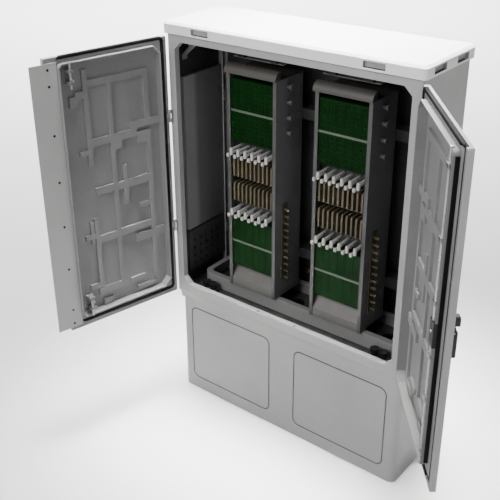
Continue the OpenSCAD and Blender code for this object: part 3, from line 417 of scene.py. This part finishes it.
# Moulded finishes: material, tone, its share in the base and in the shade, settings
MOULDED = {
    # Painted shade on the doors' inner side
    "lining": ("Door Lining", "lining", 1.0, 0.86, dict(dust=0.10, patch=5.0)),
    "strip": ("Painted Strip", "strip", 1.0, 0.92,
              dict(grain=500.0, depth=0.00003, low=0.32, high=0.44, patch=6.0)),
    "roof": ("Moulded White", "roof", 1.0, 0.95, dict(dust=0.04, patch=2.0)),
    # Painted shade: the roof's white darkened in the rim's vent pockets
    "vent_pocket": ("Vent Pocket Grey", "roof", 0.45, 0.38, dict(dust=0.1, patch=12.0)),
    # Real dark sheets, and painted shade on the side walls' inward faces
    "inner": ("Dark Powder Coat", "inner", 1.0, 0.7, dict(COATING, dust=0.12)),
    "liner": ("Liner Grey", "liner", 1.0, 0.85, dict(COATING, dust=0.08)),
    "rack": ("Rack Powder Coat", "rack", 1.0, 0.75, POWDER),
    "flange": ("Grey Powder Coat", "flange", 1.0, 0.85, POWDER),
    "rim": ("Rim Grey", "rim", 1.0, 0.85, POWDER),
    "hood": ("Hood Beige", "hood", 1.0, 0.85,
             dict(depth=0.00003, low=0.4, high=0.55, dust=0.05, patch=8.0)),
    # Painted shade in the plinth's moulded lines
    "groove": ("Groove Grime", "groove", 1.0, 0.7, dict(grain=500.0, patch=30.0)),
    "rubber": ("Seal Rubber", "rubber", 1.0, 2.2,
               dict(grain=1200.0, depth=0.00005, low=0.55, high=0.8, patch=12.0, specular=0.15)),
    "adapter": ("Adapter Green", "adapter", 1.0, 0.6,
                dict(SATIN, low=0.45, high=0.6, patch=14.0, specular=0.08)),
    # Painted shade: the adapter green darkened inside the sockets
    "socket": ("Socket Dark Green", "adapter", 0.35, 0.2,
               dict(grain=900.0, depth=0.00001, low=0.5, high=0.7, patch=14.0, specular=0.05)),
    "ferrule": ("Ferrule Green", "ferrule", 1.0, 0.7,
                dict(grain=1500.0, depth=0.00001, low=0.4, high=0.55, patch=40.0, specular=0.1)),
    "divider": ("Divider Green", "divider", 1.0, 0.85, dict(SATIN, patch=10.0)),
    "cassette": ("Cassette Olive", "cassette", 1.0, 0.6,
                 dict(SATIN, low=0.4, high=0.6, patch=24.0, specular=0.3)),
    "comb": ("Comb Brown", "comb", 1.0, 0.7, dict(SATIN, patch=12.0)),
    "vent": ("Vent Plate Grey", "vent", 1.0, 0.75, dict(COATING, dust=0.1)),
    "guide": ("Painted Guide", "guide", 1.0, 0.85,
              dict(grain=500.0, depth=0.00003, low=0.32, high=0.44, patch=9.0)),
    "fitting": ("Fitting Beige", "fitting", 1.0, 0.85, dict(SATIN, patch=12.0)),
    "tip": ("Hook White", "tip", 1.0, 0.85,
            dict(grain=900.0, depth=0.00001, low=0.2, high=0.35, patch=20.0)),
    "black": ("Black Nylon", "black", 1.0, 1.8,
              dict(grain=800.0, depth=0.00004, low=0.32, high=0.5, patch=18.0)),
}
# Metal finishes: material, tone, its share in the shade, settings
PLATED = {
    "screw": ("Blackened Screw", "screw", 0.6, dict(low=0.3, high=0.5)),
    "plating": ("Zinc Plating", "plate", 0.7, {}),
    "brass": ("Plain Brass", "brass", 0.6, {}),
}


def finish(key):
    """The finish of that name in the tables."""
    if key in PLATED:
        name, source, shade, settings = PLATED[key]
        colour = getattr(tones(), source)
        return plated(name, colour, darker(colour, shade), **settings)
    name, source, base, shade, settings = MOULDED[key]
    colour = getattr(tones(), source)
    return moulded(name, darker(colour, base), darker(colour, shade), **settings)


def shell_finish():
    """Moulded grey whose patches have a tone of their own."""
    return moulded("Moulded Grey", tones().shell, tones().shell_shade, dust=0.08)


def graded_finish(key, axis, grade):
    """The finish of that name, with the colours that grade makes along an axis; made once."""
    name = MOULDED[key][0]
    if name in bpy.data.materials:
        return bpy.data.materials[name]
    material = finish(key)
    tree = material.node_tree
    split = add_node(tree, "ShaderNodeSeparateXYZ", (-7, 2))
    tree.links.new(object_coordinates(tree, (-8, 2)), split.inputs[0])
    skin = next(node for node in tree.nodes if node.type == "GROUP" and "Tone" in node.inputs)
    for label, colour in grade(tree, split.outputs[axis]):
        tree.links.new(colour, skin.inputs[label])
    return material


def liner_light_grade(tree, depth):
    """Painted light and shade: pale along the side liners' front edge, painted shade behind it."""
    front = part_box("side_liners")[0][1]
    into_shade = remap(tree, (-6, 2), depth, front + LINER_LIT_EDGE[0], front + LINER_LIT_EDGE[1], 0.0, 1.0)
    for label, share in (("Tone", 1.0), ("Shade", 0.85)):
        yield label, mix_tones(tree, (-5, 3), into_shade, darker(tones().liner, share),
                               darker(tones().liner_shade, share))


def cassette_grade(tree, across):
    """Warmer along each rack's row of cassettes."""
    place = add_node(tree, "ShaderNodeMix", (-4, 3), data_type="FLOAT")
    is_right = calculate(tree, (-5, 1), "GREATER_THAN", across, 0.0)
    rows = [remap(tree, (-5, 2 + k), across, start, end, 0.0, 1.0)
            for k, (start, end) in enumerate(CASSETTE_ROWS)]
    for socket, value in zip((place.inputs[0], place.inputs[2], place.inputs[3]), [is_right] + rows):
        tree.links.new(value, socket)
    yield "Tone", mix_tones(tree, (-3, 3), place.outputs[0], tuple(tones().cassette),
                            tuple(tones().cassette_warm))


# --- Mesh helpers ------------------------------------------------------------

def only(piece):
    """Makes piece the one selected and active object, in object mode."""
    if bpy.context.mode != "OBJECT":
        bpy.ops.object.mode_set(mode="OBJECT")
    bpy.ops.object.select_all(action="DESELECT")
    piece.select_set(True)
    bpy.context.view_layer.objects.active = piece


def finish_piece(piece, material, body, slot, *nodes):
    """Gives a finished piece its material, body and place in the model."""
    piece.data.materials.clear()
    piece.data.materials.append(material)
    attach(piece, body)
    if nodes:
        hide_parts(*nodes)
    return piece


def weight_normals(piece):
    """Keeps wide faces flat where they meet a rounded edge."""
    weights = piece.modifiers.new("Flat faces", "WEIGHTED_NORMAL")
    weights.keep_sharp = True
    weights.weight = 100
    bpy.ops.object.modifier_apply(modifier=weights.name)


def drop_slivers(piece):
    """Removes the faces without area that rounding leaves."""
    only(piece)
    bpy.ops.object.mode_set(mode="EDIT")
    bpy.ops.mesh.select_all(action="SELECT")
    bpy.ops.mesh.dissolve_degenerate(threshold=SLIVER)
    bpy.ops.object.mode_set(mode="OBJECT")


def draw_back(piece, node, width):
    """Puts the corners that the rounding threw off the node's skin back on it."""
    skin = NODES[node].data
    tree = BVHTree.FromPolygons([v.co for v in skin.vertices], [face.vertices for face in skin.polygons])
    strays = []
    for vertex in piece.data.vertices:
        if tree.find_nearest(vertex.co)[3] > STRAY_SHARE * width + STRAY_LIMIT:
            strays.append(vertex.index)
    if not strays:
        return
    group = piece.vertex_groups.new(name="Strays")
    group.add(strays, 1.0, "REPLACE")
    wrap = piece.modifiers.new("Strays", "SHRINKWRAP")
    wrap.target = NODES[node]
    wrap.vertex_group = group.name
    bpy.ops.object.modifier_apply(modifier=wrap.name)
    piece.vertex_groups.clear()


def softened(node, width, material, segments=2, angle=32.0, merged=False):
    """Copy of a CAD node with rounded edges, which stands for the node.

    merged joins its level faces before they are rounded.
    """
    only(NODES[node])
    bpy.ops.object.duplicate()
    piece = bpy.context.view_layer.objects.active
    piece.name = node + "_finished"
    piece.parent = None
    for key in [key for key in piece.keys() if key.startswith("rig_")]:
        del piece[key]
    bpy.ops.object.mode_set(mode="EDIT")
    bpy.ops.mesh.select_all(action="SELECT")
    bpy.ops.mesh.remove_doubles(threshold=MERGE_GAP)
    if merged:
        bpy.ops.mesh.dissolve_limited(angle_limit=FLAT_ANGLE)
    bpy.ops.object.mode_set(mode="OBJECT")
    if width:
        rounder = piece.modifiers.new("Rounded edges", "BEVEL")
        rounder.width = width
        rounder.segments = segments
        rounder.limit_method = "ANGLE"
        rounder.angle_limit = radians(angle)
        rounder.use_clamp_overlap = False
        rounder.loop_slide = not merged
        rounder.miter_outer = "MITER_ARC"
        bpy.ops.object.modifier_apply(modifier=rounder.name)
        draw_back(piece, node, width)
        drop_slivers(piece)
    bpy.ops.object.shade_smooth_by_angle(angle=radians(angle))
    weight_normals(piece)
    finish_piece(piece, material, BODY_OF[node], SLOT_OF[node], node)
    return piece


def second_finish(piece, material, test):
    """Gives the faces that pass test another material."""
    piece.data.materials.append(material)
    index = len(piece.data.materials) - 1
    for face in piece.data.polygons:
        if test(face):
            face.material_index = index


def pick_faces(piece, test):
    """Selects the faces that pass test and leaves the piece in edit mode."""
    only(piece)
    bpy.ops.object.mode_set(mode="EDIT")
    bpy.ops.mesh.select_mode(type="FACE")
    bpy.ops.mesh.select_all(action="DESELECT")
    bpy.ops.object.mode_set(mode="OBJECT")
    for face in piece.data.polygons:
        face.select = test(face)
    bpy.ops.object.mode_set(mode="EDIT")


def push_out(x=0.0, y=0.0, z=0.0):
    """Extrudes the selected faces."""
    bpy.ops.mesh.extrude_region_move(TRANSFORM_OT_translate={"value": (x, y, z)})


def settle(piece):
    """Puts the piece's place into its mesh."""
    only(piece)
    bpy.ops.object.transform_apply(location=True, rotation=True, scale=True)


def primitive(add, **settings):
    """New primitive made by the operator add, with its place in its mesh."""
    bpy.ops.object.select_all(action="DESELECT")
    add(**settings)
    piece = bpy.context.view_layer.objects.active
    settle(piece)
    return piece


def rounded(piece, width, segments=2, angle=40.0):
    """Rounds the piece's edges and shades it smooth."""
    only(piece)
    rounder = piece.modifiers.new("Rounded edges", "BEVEL")
    rounder.width = width
    rounder.segments = segments
    rounder.limit_method = "ANGLE"
    rounder.angle_limit = radians(angle)
    bpy.ops.object.modifier_apply(modifier=rounder.name)
    drop_slivers(piece)
    bpy.ops.object.shade_smooth_by_angle(angle=radians(angle))


def copy_to(piece, name, place, turn=0.0):
    """Copy of the piece with its own mesh, turned about the upright and moved to place."""
    only(piece)
    bpy.ops.object.duplicate(linked=False)
    copy = bpy.context.view_layer.objects.active
    copy.name = name
    copy.rotation_euler = (0, 0, turn)
    copy.location = place
    settle(copy)
    return copy


def join(name, pieces):
    """Joins the pieces into one object."""
    only(pieces[0])
    for piece in pieces:
        piece.select_set(True)
    bpy.ops.object.join()
    pieces[0].name = name
    return pieces[0]


def discard(piece):
    """Deletes the piece."""
    only(piece)
    bpy.ops.object.delete()


def on_door(side, x, y, z):
    """Place on the opened door of a point drawn on the closed one."""
    pin, turn = DOOR_PINS[side], DOOR_TURNS[side]
    return pin + Matrix.Rotation(turn, 3, "Z") @ (Vector((x, y, z)) - pin)


def on_closed_door(side, point):
    """Place on the closed door of a point on the opened one."""
    pin, turn = DOOR_PINS[side], DOOR_TURNS[side]
    return pin + Matrix.Rotation(-turn, 3, "Z") @ (Vector(point) - pin)


# --- Operators ---------------------------------------------------------------

class CABINET_OT_shell(bpy.types.Operator):
    """Finish the moulded plinth, frame and walls"""
    bl_idname = "cabinet.shell"
    bl_label = "Shell"
    groove_y = (-0.1328, -0.1300)
    groove_reach = 0.452
    groove_z = (0.02, 0.42)
    jamb = 0.004

    def in_groove(self, face):
        """True on the floor and flanks of the plinth's moulded lines."""
        x, y, z = face.center
        return (self.groove_y[0] < y < self.groove_y[1] and abs(x) < self.groove_reach
                and self.groove_z[0] < z < self.groove_z[1])

    def execute(self, context):
        softened("front_frame", detail().shell_edge / 2, shell_finish())
        softened("rear_wall", detail().shell_edge, shell_finish())
        plinth = softened("plinth", detail().shell_edge / 2, shell_finish(), merged=True)
        # The grooves' floor and flanks take the dark finish: painted shade in the recesses
        second_finish(plinth, finish("groove"), self.in_groove)
        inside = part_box("front_frame")[1][0] - self.jamb
        for node, way in (("left_side_wall", 1), ("right_side_wall", -1)):
            wall = softened(node, detail().shell_edge, shell_finish())
            # The walls' inward faces take the dark inner finish: painted shade inside the cabinet
            second_finish(wall, finish("inner"),
                          lambda face: face.normal.x * way > 0.5 and abs(face.center.x) < inside)
        return {"FINISHED"}


class CABINET_OT_doors(bpy.types.Operator):
    """Finish the doors, with painted shade: a darker finish on their inner side"""
    bl_idname = "cabinet.doors"
    bl_label = "Doors"
    spans = {"left": (-0.497, -0.018), "right": (-0.014, 0.497)}
    skin_back = -0.172
    rim = 0.0012
    strip_edge = 0.0006

    def execute(self, context):
        for side, (near, far) in self.spans.items():
            door = softened(side + "_door", detail().shell_edge, shell_finish(), merged=True)
            low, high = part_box(side + "_door")

            # Faces on the inner side get the darker finish: painted shade
            def lining(face):
                place = on_closed_door(side, face.center)
                return (place.y > self.skin_back and near + self.rim < place.x < far - self.rim
                        and low[2] + self.rim < place.z < high[2] - self.rim)

            second_finish(door, finish("lining"), lining)
        softened("overlap_strip", self.strip_edge, finish("strip"), merged=True)
        return {"FINISHED"}


class CABINET_OT_strip_screws(bpy.types.Operator):
    """Model the screws of the overlap strip, with a ring recess and a centre pin"""
    bl_idname = "cabinet.strip_screws"
    bl_label = "Strip screws"
    face = (-0.031, -0.1556)
    end_gaps = (0.017, 0.021)
    first_gap = 0.074
    last_gap = 0.077

    def head(self):
        """Screw head that faces the front."""
        radius = detail().screw_radius
        screw = primitive(bpy.ops.mesh.primitive_cylinder_add, vertices=24, radius=radius, depth=0.0014,
                          location=(0, 0.0007, 0), rotation=(radians(90), 0, 0))
        pick_faces(screw, lambda face: face.normal.y > 0.9)
        bpy.ops.mesh.inset(thickness=radius * 0.42)
        push_out(y=-0.0009)
        bpy.ops.mesh.inset(thickness=radius * 0.34)
        push_out(y=0.0008)
        bpy.ops.object.mode_set(mode="OBJECT")
        rounded(screw, 0.0003)
        return screw

    def execute(self, context):
        low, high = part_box("overlap_strip")
        pitch = (high[2] - low[2] - self.first_gap - self.last_gap) / 5
        row = [low[2] + self.first_gap + k * pitch for k in range(6)]
        heights = [low[2] + self.end_gaps[0]] + row + [high[2] - self.end_gaps[1]]
        screw = self.head()
        copies = [copy_to(screw, "screw", on_door("left", *self.face, z), DOOR_TURNS["left"])
                  for z in heights]
        discard(screw)
        finish_piece(join("strip_screw_set", copies), finish("screw"), BODY_OF["strip_screws"],
                     SLOT_OF["strip_screws"], "strip_screws")
        return {"FINISHED"}


class CABINET_OT_roof(bpy.types.Operator):
    """Finish the roof cap and the tray under it"""
    bl_idname = "cabinet.roof"
    bl_label = "Roof"
    vent_z = (1.5175, 1.5395)
    vent_x = 0.340
    vent_y = 0.074
    vent_half = 0.0385

    def in_vent(self, face):
        """True on the floor and flanks of the rim's vent pockets."""
        x, y, z = (abs(value) for value in face.center)
        if not self.vent_z[0] < z < self.vent_z[1]:
            return False
        across_front = abs(x - self.vent_x) < self.vent_half and 0.1505 < y < 0.1622
        across_end = abs(y - self.vent_y) < self.vent_half and 0.4975 < x < 0.5092
        return across_front or across_end

    def execute(self, context):
        cap = softened("roof_cap", detail().shell_edge, finish("roof"), angle=25.0, merged=True)
        # The vent pockets take a darker roof tone: painted shade in the recesses
        second_finish(cap, finish("vent_pocket"), self.in_vent)
        softened("roof_tray", detail().sheet_edge, finish("inner"))
        return {"FINISHED"}


class CABINET_OT_seals(bpy.types.Operator):
    """Finish the rubber seals of the doors and the cable entries"""
    bl_idname = "cabinet.seals"
    bl_label = "Seals"
    bulb_edge = 0.0016
    grommet_edge = 0.001

    def execute(self, context):
        softened("left_gasket", detail().seal_edge, finish("rubber"), segments=3)
        softened("right_gasket", self.bulb_edge, finish("rubber"), segments=3)
        softened("floor_grommets", self.grommet_edge, finish("rubber"))
        return {"FINISHED"}


class CABINET_OT_sheetwork(bpy.types.Operator):
    """Finish the folded sheet inside the cabinet"""
    bl_idname = "cabinet.sheetwork"
    bl_label = "Sheetwork"
    coats = {"floor_plate": "inner", "rear_liner": "inner", "cassette_holders": "inner",
             "vent_plates": "vent", "side_liners": "liner", "rack_rails": "inner", "inner_rim": "rim",
             "guide_bars": "rim", "top_brackets": "rim", "rack_feet": "fitting", "rack_hoods": "hood"}
    flange_depth = 0.004

    def execute(self, context):
        for node, key in self.coats.items():
            # The side liners grade from painted light at the front to painted shade behind
            coat = graded_finish(key, "Y", liner_light_grade) if key == "liner" else finish(key)
            softened(node, detail().sheet_edge, coat)
        for node in ("left_rack_frame", "right_rack_frame"):
            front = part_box(node)[0][1]
            rack = softened(node, detail().sheet_edge, finish("rack"))
            second_finish(rack, finish("flange"), lambda face: face.center.y < front + self.flange_depth)
        return {"FINISHED"}


class CABINET_OT_hardware(bpy.types.Operator):
    """Finish the hinges, bolts, rods and lock"""
    bl_idname = "cabinet.hardware"
    bl_label = "Hardware"
    fine_edge = 0.0004
    case_edge = 0.0002
    clip_edge = 0.0012
    bar_edge = 0.0006

    def execute(self, context):
        softened("bolt_guides", self.fine_edge, finish("guide"))
        for node in ("frame_hinges", "hinge_pins", "left_hinges", "right_hinges", "top_bolt",
                     "bottom_bolt", "lock_spindle", "lever_pin", "lock_barrel", "upper_rod",
                     "lower_rod", "rod_guides", "earth_studs", "roof_bolts"):
            softened(node, self.fine_edge, finish("plating"), merged=True)
        softened("handle_lever", detail().handle_edge, finish("black"), segments=4, merged=True)
        softened("lock_plate", detail().plate_edge, finish("black"), segments=3, merged=True)
        softened("lock_case", self.case_edge, finish("black"), merged=True)
        for node in ("clamp_bases", "guide_clips"):
            softened(node, self.clip_edge, finish("black"), segments=3)
        softened("earth_bar", self.bar_edge, finish("brass"))
        return {"FINISHED"}


class CABINET_OT_clamp_knobs(bpy.types.Operator):
    """Model the knurled knobs of the cable clamps"""
    bl_idname = "cabinet.clamp_knobs"
    bl_label = "Clamp knobs"
    sides = 28
    height = 0.014
    neck_radius = 0.008
    neck = 0.008
    spacing = 0.034

    def knob(self):
        """Knob with grooved flanks, a dished top and a neck."""
        radius = detail().knob_radius
        knob = primitive(bpy.ops.mesh.primitive_cylinder_add, vertices=self.sides, radius=radius,
                         depth=self.height, location=(0, 0, self.neck + self.height / 2))
        flanks = [face.index for face in knob.data.polygons if abs(face.normal.z) < 0.5]
        start = Vector((1, 0))
        ordered = sorted(flanks, key=lambda i: knob.data.polygons[i].normal.to_2d().angle_signed(start))
        grooves = set(ordered[::2])
        pick_faces(knob, lambda face: face.index in grooves)
        bpy.ops.mesh.inset(thickness=0.0004, use_individual=True)
        bpy.ops.transform.shrink_fatten(value=-0.0011)
        pick_faces(knob, lambda face: face.normal.z > 0.9)
        bpy.ops.mesh.inset(thickness=0.0035)
        push_out(z=-0.0012)
        pick_faces(knob, lambda face: face.normal.z < -0.9)
        bpy.ops.mesh.inset(thickness=radius - self.neck_radius)
        push_out(z=-self.neck)
        bpy.ops.object.mode_set(mode="OBJECT")
        rounded(knob, 0.0003, angle=50.0)
        return knob

    def execute(self, context):
        low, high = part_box("clamp_knobs")
        y = (low[1] + high[1]) / 2
        reach = high[0] - detail().knob_radius
        knob = self.knob()
        copies = [copy_to(knob, "knob", (x, y, low[2]))
                  for x in (-reach, self.spacing - reach, reach - self.spacing, reach)]
        discard(knob)
        finish_piece(join("clamp_knob_set", copies), finish("black"), BODY_OF["clamp_knobs"],
                     SLOT_OF["clamp_knobs"], "clamp_knobs")
        return {"FINISHED"}


class CABINET_OT_adapters(bpy.types.Operator):
    """Finish the adapter modules and model the twin port in each opening"""
    bl_idname = "cabinet.adapters"
    bl_label = "Adapters"
    columns = 6
    rows = 6
    bar = 0.008
    edge = 0.0006
    bar_edge = 0.0008
    joint = 0.0006
    margin = 0.004
    bezel = (0.0108, 0.0042)

    def port(self, width, height):
        """Twin port: two framed sockets, each with a sleeve."""
        port = primitive(bpy.ops.mesh.primitive_cube_add, size=1.0, location=(0, 0.0035, 0),
                         scale=(width, 0.005, height))
        bpy.ops.object.mode_set(mode="EDIT")
        bpy.ops.mesh.select_all(action="SELECT")
        bpy.ops.mesh.bisect(plane_co=(0, 0, 0), plane_no=(1, 0, 0))
        bpy.ops.object.mode_set(mode="OBJECT")
        pick_faces(port, lambda face: face.normal.y < -0.9)
        bpy.ops.mesh.inset(thickness=0.0014, use_individual=True)
        push_out(y=0.0035)
        bpy.ops.mesh.inset(thickness=0.002, use_individual=True)
        push_out(y=-0.0028)
        bpy.ops.object.mode_set(mode="OBJECT")
        port.data.materials.append(finish("adapter"))
        # Faces inside each socket take the darker green: painted shade in the recess
        second_finish(port, finish("socket"),
                      lambda face: face.center.y > 0.0012 and face.normal.y < 0.5)
        second_finish(port, finish("ferrule"),
                      lambda face: face.normal.y < -0.9 and face.area < width * height * 0.16)
        return port

    def field(self, port, name, x, y, z, pitch_x, pitch_z, node):
        """Grid of ports that rides with the node."""
        field = copy_to(port, name, (x, y, z))
        for count, offset in ((self.columns, (pitch_x, 0, 0)), (self.rows, (0, 0, pitch_z))):
            repeat = field.modifiers.new("Repeat", "ARRAY")
            repeat.count = count
            repeat.use_relative_offset = False
            repeat.use_constant_offset = True
            repeat.constant_offset_displace = offset
            bpy.ops.object.modifier_apply(modifier=repeat.name)
        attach(field, BODY_OF[node])

    def execute(self, context):
        for side in ("left", "right"):
            for level in ("upper", "lower"):
                softened(f"{side}_{level}_adapters", self.edge, finish("adapter"))
            node = side + "_upper_adapters"
            low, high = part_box(node)
            pitch_x = (high[0] - low[0] + self.joint) / self.columns
            half = (high[2] - low[2] - self.bar) / 2
            pitch_z = (half - 2 * self.margin) / self.rows
            port = self.port(pitch_x - self.bezel[0], pitch_z - self.bezel[1])
            for k in range(2):
                x = low[0] + (pitch_x - self.joint) / 2
                z = low[2] + k * (half + self.bar) + self.margin + pitch_z / 2
                self.field(port, f"{side}_ports_{k + 1}", x, low[1], z, pitch_x, pitch_z, node)
            discard(port)
        softened("adapter_bars", self.bar_edge, finish("divider"))
        return {"FINISHED"}


class CABINET_OT_hooks(bpy.types.Operator):
    """Model the cable hooks: a rod with a rounded finger turned down at its end"""
    bl_idname = "cabinet.hooks"
    bl_label = "Cable hooks"
    reach = 0.072
    middles = {"left": -0.187, "right": 0.187}
    fingers = (0.009, 0.022)
    steps = (-0.014, 0.009)
    row_gaps = (0.023, 0.0155)
    columns = 6
    joint = 0.0006

    def hook(self, finger):
        """Hook whose finger hangs down by that length."""
        radius, tip = detail().hook_radius, detail().hook_tip_radius
        rod = primitive(bpy.ops.mesh.primitive_cylinder_add, vertices=20, radius=radius,
                        depth=self.reach - 0.003, location=(0, self.reach / 2 + 0.0015, 0),
                        rotation=(radians(90), 0, 0))
        pick_faces(rod, lambda face: face.normal.y < -0.9)
        bpy.ops.mesh.inset(thickness=radius * 0.3)
        push_out(y=-0.0015)
        bpy.ops.object.mode_set(mode="OBJECT")
        rounded(rod, 0.0006)
        end = primitive(bpy.ops.mesh.primitive_cylinder_add, vertices=24, radius=tip,
                        depth=finger + tip, location=(0, tip, (tip - finger) / 2))
        rounded(end, tip * 0.72, segments=4)
        return join("hook", [rod, end])

    def execute(self, context):
        for side, middle in self.middles.items():
            node = side + "_cable_hooks"
            low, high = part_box(node)
            left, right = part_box(side + "_upper_adapters")
            pitch = (right[0] - left[0] + self.joint) / self.columns
            pair = [self.hook(finger) for finger in self.fingers]
            copies = []
            for row in (low[2] + self.row_gaps[0], high[2] - self.row_gaps[1]):
                for i in range(self.columns):
                    x = middle + (i - (self.columns - 1) / 2) * pitch
                    for hook, way, step in zip(pair, (-1, 1), self.steps):
                        copies.append(copy_to(hook, "hook", (x + way * pitch / 4, low[1], row + step)))
            for hook in pair:
                discard(hook)
            finish_piece(join(side + "_hook_set", copies), finish("tip"), BODY_OF[node], SLOT_OF[node],
                         node)
        return {"FINISHED"}


class CABINET_OT_rack_fittings(bpy.types.Operator):
    """Finish the cassettes, spools and combs"""
    bl_idname = "cabinet.rack_fittings"
    bl_label = "Rack fittings"
    spool_edge = 0.001
    comb_edge = 0.0008

    def execute(self, context):
        for node in ("left_cassettes", "right_cassettes"):
            softened(node, detail().sheet_edge, graded_finish("cassette", "X", cassette_grade))
        softened("storage_spools", self.spool_edge, finish("fitting"), merged=True)
        softened("side_combs", self.comb_edge, finish("comb"))
        return {"FINISHED"}


class CABINET_OT_stage(bpy.types.Operator):
    """Set the pale floor, the soft lights and the camera"""
    bl_idname = "cabinet.stage"
    bl_label = "Stage"

    def floor(self):
        """Wide plain floor."""
        bpy.ops.object.select_all(action="DESELECT")
        bpy.ops.mesh.primitive_plane_add(size=stage().floor_size, location=(0, 0, 0))
        floor = bpy.context.view_layer.objects.active
        floor.name = "studio_floor"
        material, tree, shader = new_finish("Studio Floor", specular=0.2)
        where = object_coordinates(tree, (-4, 0))
        shade = noise(tree, (-3, 0), where, 0.6)
        colour = mix_tones(tree, (-1, 0), shade, (0.86, 0.86, 0.86), (0.88, 0.88, 0.88))
        tree.links.new(colour, shader.inputs["Base Color"])
        shader.inputs["Roughness"].default_value = 0.9
        floor.data.materials.append(material)

    def light(self, name, place, size, power, target=(0, 0, 0.8), spread=180.0):
        """Soft square light aimed at target."""
        bpy.ops.object.light_add(type="AREA", location=place)
        lamp = bpy.context.view_layer.objects.active
        lamp.name = name
        lamp.data.size = size
        lamp.data.energy = power
        lamp.data.spread = radians(spread)
        aim = Vector(target) - Vector(place)
        lamp.rotation_euler = aim.to_track_quat("-Z", "Y").to_euler()

    def camera(self):
        """Camera that looks down at the open doors from the right."""
        s = stage()
        back = Vector((sin(s.azimuth) * cos(s.elevation), -cos(s.azimuth) * cos(s.elevation),
                       sin(s.elevation)))
        level = Vector((cos(s.azimuth), sin(s.azimuth), 0))
        upright = back.cross(level)
        right = level * cos(s.roll) + upright * sin(s.roll)
        up = upright * cos(s.roll) - level * sin(s.roll)
        bpy.ops.object.camera_add()
        camera = bpy.context.view_layer.objects.active
        camera.name = "studio_camera"
        turn = Matrix((right, up, back)).transposed().to_4x4()
        camera.matrix_world = Matrix.Translation(Vector(s.target) + back * s.distance) @ turn
        camera.data.lens = s.lens
        camera.data.sensor_width = 36.0
        camera.data.shift_x, camera.data.shift_y = s.shift
        camera.data.clip_end = 100.0
        bpy.context.scene.camera = camera

    def world(self):
        """Even white surround."""
        world = bpy.data.worlds.new("Studio Sky")
        world.use_nodes = True
        sky = world.node_tree.nodes["Background"]
        sky.inputs["Color"].default_value = (1.0, 1.0, 1.0, 1.0)
        sky.inputs["Strength"].default_value = stage().sky
        bpy.context.scene.world = world

    def execute(self, context):
        self.floor()
        self.world()
        self.light("front_light", (-0.6, -4.4, 4.0), 2.6, stage().front)
        self.light("top_light", (0, 0.1, 4.6), 1.2, stage().top, (0, 0, 1.5), 24.0)
        self.light("side_light", (3.8, -1.3, 2.7), 2.2, stage().side)
        self.light("backdrop_light", (-5.5, 6.5, 5.5), 8.0, stage().backdrop, (-5.5, 6.5, 0))
        self.camera()
        return {"FINISHED"}


OPERATORS = (CABINET_OT_shell, CABINET_OT_doors, CABINET_OT_strip_screws, CABINET_OT_roof,
             CABINET_OT_seals, CABINET_OT_sheetwork, CABINET_OT_hardware, CABINET_OT_clamp_knobs,
             CABINET_OT_adapters, CABINET_OT_hooks, CABINET_OT_rack_fittings, CABINET_OT_stage)
SETTINGS = (CabinetTones, CabinetDetail, CabinetStage)


class CABINET_PT_panel(bpy.types.Panel):
    """Lists the cabinet's pieces and settings"""
    bl_idname = "CABINET_PT_panel"
    bl_label = "Street Fibre Cabinet"
    bl_space_type = "VIEW_3D"
    bl_region_type = "UI"
    bl_category = "Cabinet"

    def draw(self, context):
        for operator in OPERATORS:
            self.layout.operator(operator.bl_idname)
        for group in (tones(), detail(), stage()):
            box = self.layout.box()
            for key in group.__annotations__:
                box.prop(group, key)


def register():
    for cls in SETTINGS + OPERATORS + (CABINET_PT_panel,):
        bpy.utils.register_class(cls)
    bpy.types.Scene.cabinet_tones = bpy.props.PointerProperty(type=CabinetTones)
    bpy.types.Scene.cabinet_detail = bpy.props.PointerProperty(type=CabinetDetail)
    bpy.types.Scene.cabinet_stage = bpy.props.PointerProperty(type=CabinetStage)


def unregister():
    del bpy.types.Scene.cabinet_stage
    del bpy.types.Scene.cabinet_detail
    del bpy.types.Scene.cabinet_tones
    for cls in reversed(SETTINGS + OPERATORS + (CABINET_PT_panel,)):
        bpy.utils.unregister_class(cls)


def main():
    register()
    bpy.ops.cabinet.shell()
    bpy.ops.cabinet.doors()
    bpy.ops.cabinet.strip_screws()
    bpy.ops.cabinet.roof()
    bpy.ops.cabinet.seals()
    bpy.ops.cabinet.sheetwork()
    bpy.ops.cabinet.hardware()
    bpy.ops.cabinet.clamp_knobs()
    bpy.ops.cabinet.adapters()
    bpy.ops.cabinet.hooks()
    bpy.ops.cabinet.rack_fittings()
    bpy.ops.cabinet.stage()


if __name__ == "__main__":
    main()
